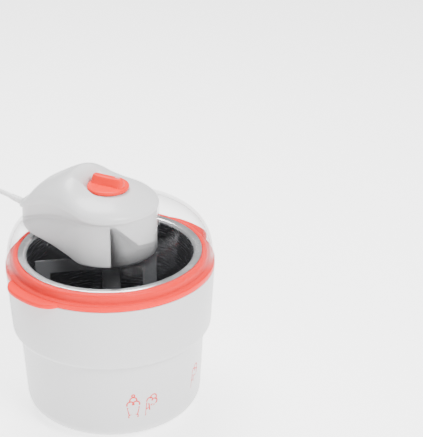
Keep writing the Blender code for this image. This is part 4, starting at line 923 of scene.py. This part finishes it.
def plug_body():
    """A flat two-pin plug: a tapered, rounded body with finger grooves."""
    cx, cy, z0 = *PLUG_CENTRE, PLUG_MID_Z
    rows = []
    steps, around = 40, 48
    for i in range(steps + 1):
        k = i / steps
        x = cx + PLUG_LENGTH * (k - 0.5)
        half = curve_at(k * 100, PLUG_WIDTHS) * MM
        tall = curve_at(k * 100, PLUG_HEIGHTS) * MM
        groove = 0.45 * MM * max(0.0, cos(pi * ((k - 0.2) / 0.055))) if 0.17 < k < 0.52 else 0.0
        wide = half - groove
        rows.append([Vector((x, cy + wide * squared(cos(a), 0.45), z0 + tall * squared(sin(a), 0.6)))
                     for a in (2 * pi * j / around for j in range(around))])
    return make("plug_moulding", loft(rows), LEAD, "drive", ["mains_plug"])


TIE_AZIMUTH, TIE_R, TIE_Z = radians(35), 28.0 * MM, 5.4 * MM


def cord_tie():
    """A twist tie round one side of the coil."""
    out, up = Vector((*at_angle(1, TIE_AZIMUTH), 0)), Vector((0, 0, 1))
    along = up.cross(out)
    middle = Vector((*COIL_CENTRE, TIE_Z)) + out * TIE_R
    rows = []
    for half, grow in ((-1.6 * MM, 0.0), (-1.3 * MM, 0.5 * MM), (1.3 * MM, 0.5 * MM), (1.6 * MM, 0.0)):
        loop = []
        for i in range(40):
            a = 2 * pi * i / 40
            wide = (5.6 * MM + grow * 0.5) * squared(cos(a), 0.5)
            tall = (5.05 * MM + grow * 0.4) * squared(sin(a), 0.5)
            loop.append(middle + out * wide + up * tall + along * half)
        rows.append(loop)
    return make("cord_tie", loft(rows), RUBBER, "drive")


def relief():
    """Tapered strain relief with moulded ribs."""
    length, flange = 23.0 * MM, 1.8 * MM
    profile = [(5.2 * MM, -length), (5.2 * MM, flange - length), (4.0 * MM, flange - length)]
    ribs = 6
    for k in range(ribs * 8 + 1):
        t = k / (ribs * 8)
        z = -length + 5 * MM + (length - 5.3 * MM) * t
        base = 4.0 * MM - 0.95 * MM * t
        profile.append((base - (0.35 * MM * max(0, sin(2 * pi * ribs * t)) if 0.1 < t < 0.97 else 0), z))
    bm = turned(profile, 40)
    bmesh.ops.transform(bm, matrix=cord_axis(), verts=bm.verts)
    make("cord_relief", bm, LEAD, "drive", ["strain_relief"], sharp=60)


# ---------------------------------------------------------------- nodes that keep their shape

NODE_LOOKS = {
    "base_plate": GREY, "bowl_shell": GREY, "switch_body": GREY, "bowl_gasket": RUBBER, "fill_plug": RUBBER,
    "coolant_gel": GEL, "lower_bush": BRONZE, "upper_bush": BRONZE, "output_gear": NYLON, "idler_gear": NYLON,
    "switch_spindle": NYLON,
}


def dress_nodes():
    for name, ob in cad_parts.items():
        mat = NODE_LOOKS.get(name, RUBBER if name.startswith("rubber_foot") else STEEL)
        for slot in ob.material_slots:
            slot.material = mat
        if not ob.material_slots:
            ob.data.materials.append(mat)


# ---------------------------------------------------------------- floor and light

def stage():
    bm = bmesh.new()
    bmesh.ops.create_grid(bm, x_segments=1, y_segments=1, size=6)
    mesh = bpy.data.meshes.new("floor")
    bm.to_mesh(mesh)
    bm.free()
    mat, _, shader = new_material("floor_white")
    shader.inputs["Base Color"].default_value = (0.93, 0.93, 0.93, 1)
    shader.inputs["Roughness"].default_value = 0.85
    shader.inputs["Emission Color"].default_value = (1, 1, 1, 1)
    shader.inputs["Emission Strength"].default_value = 2.0
    mesh.materials.append(mat)
    floor = bpy.data.objects.new("floor", mesh)
    floor.location.z = -0.2 * MM
    bpy.context.scene.collection.objects.link(floor)


def area_light(name, place, aim, size, power, colour=(1, 1, 1)):
    data = bpy.data.lights.new(name, "AREA")
    data.shape = "RECTANGLE"
    data.size, data.size_y = size
    data.energy = power
    data.color = colour
    ob = bpy.data.objects.new(name, data)
    ob.location = place
    ob.rotation_euler = (Vector(aim) - Vector(place)).to_track_quat("-Z", "Y").to_euler()
    bpy.context.scene.collection.objects.link(ob)


def studio():
    world = bpy.data.worlds.new("studio")
    world.use_nodes = True
    world.node_tree.nodes["Background"].inputs["Color"].default_value = (1, 1, 1, 1)
    world.node_tree.nodes["Background"].inputs["Strength"].default_value = 0.42
    bpy.context.scene.world = world
    middle = (0, 0, 0.12)
    area_light("key_light", (0.85, -1.1, 1.5), middle, (0.7, 0.7), 62)
    area_light("front_fill", (-0.3, -1.7, 0.5), middle, (1.4, 0.8), 8)
    area_light("top_light", (-0.2, 0.5, 1.7), middle, (1.0, 1.0), 60)


make_camera()
dress_nodes()
lead()
jacket()
prints()
collar()
bowl()
lower_cover()
upper_cover()
knob()
lid()
paddle()
stage()
studio()
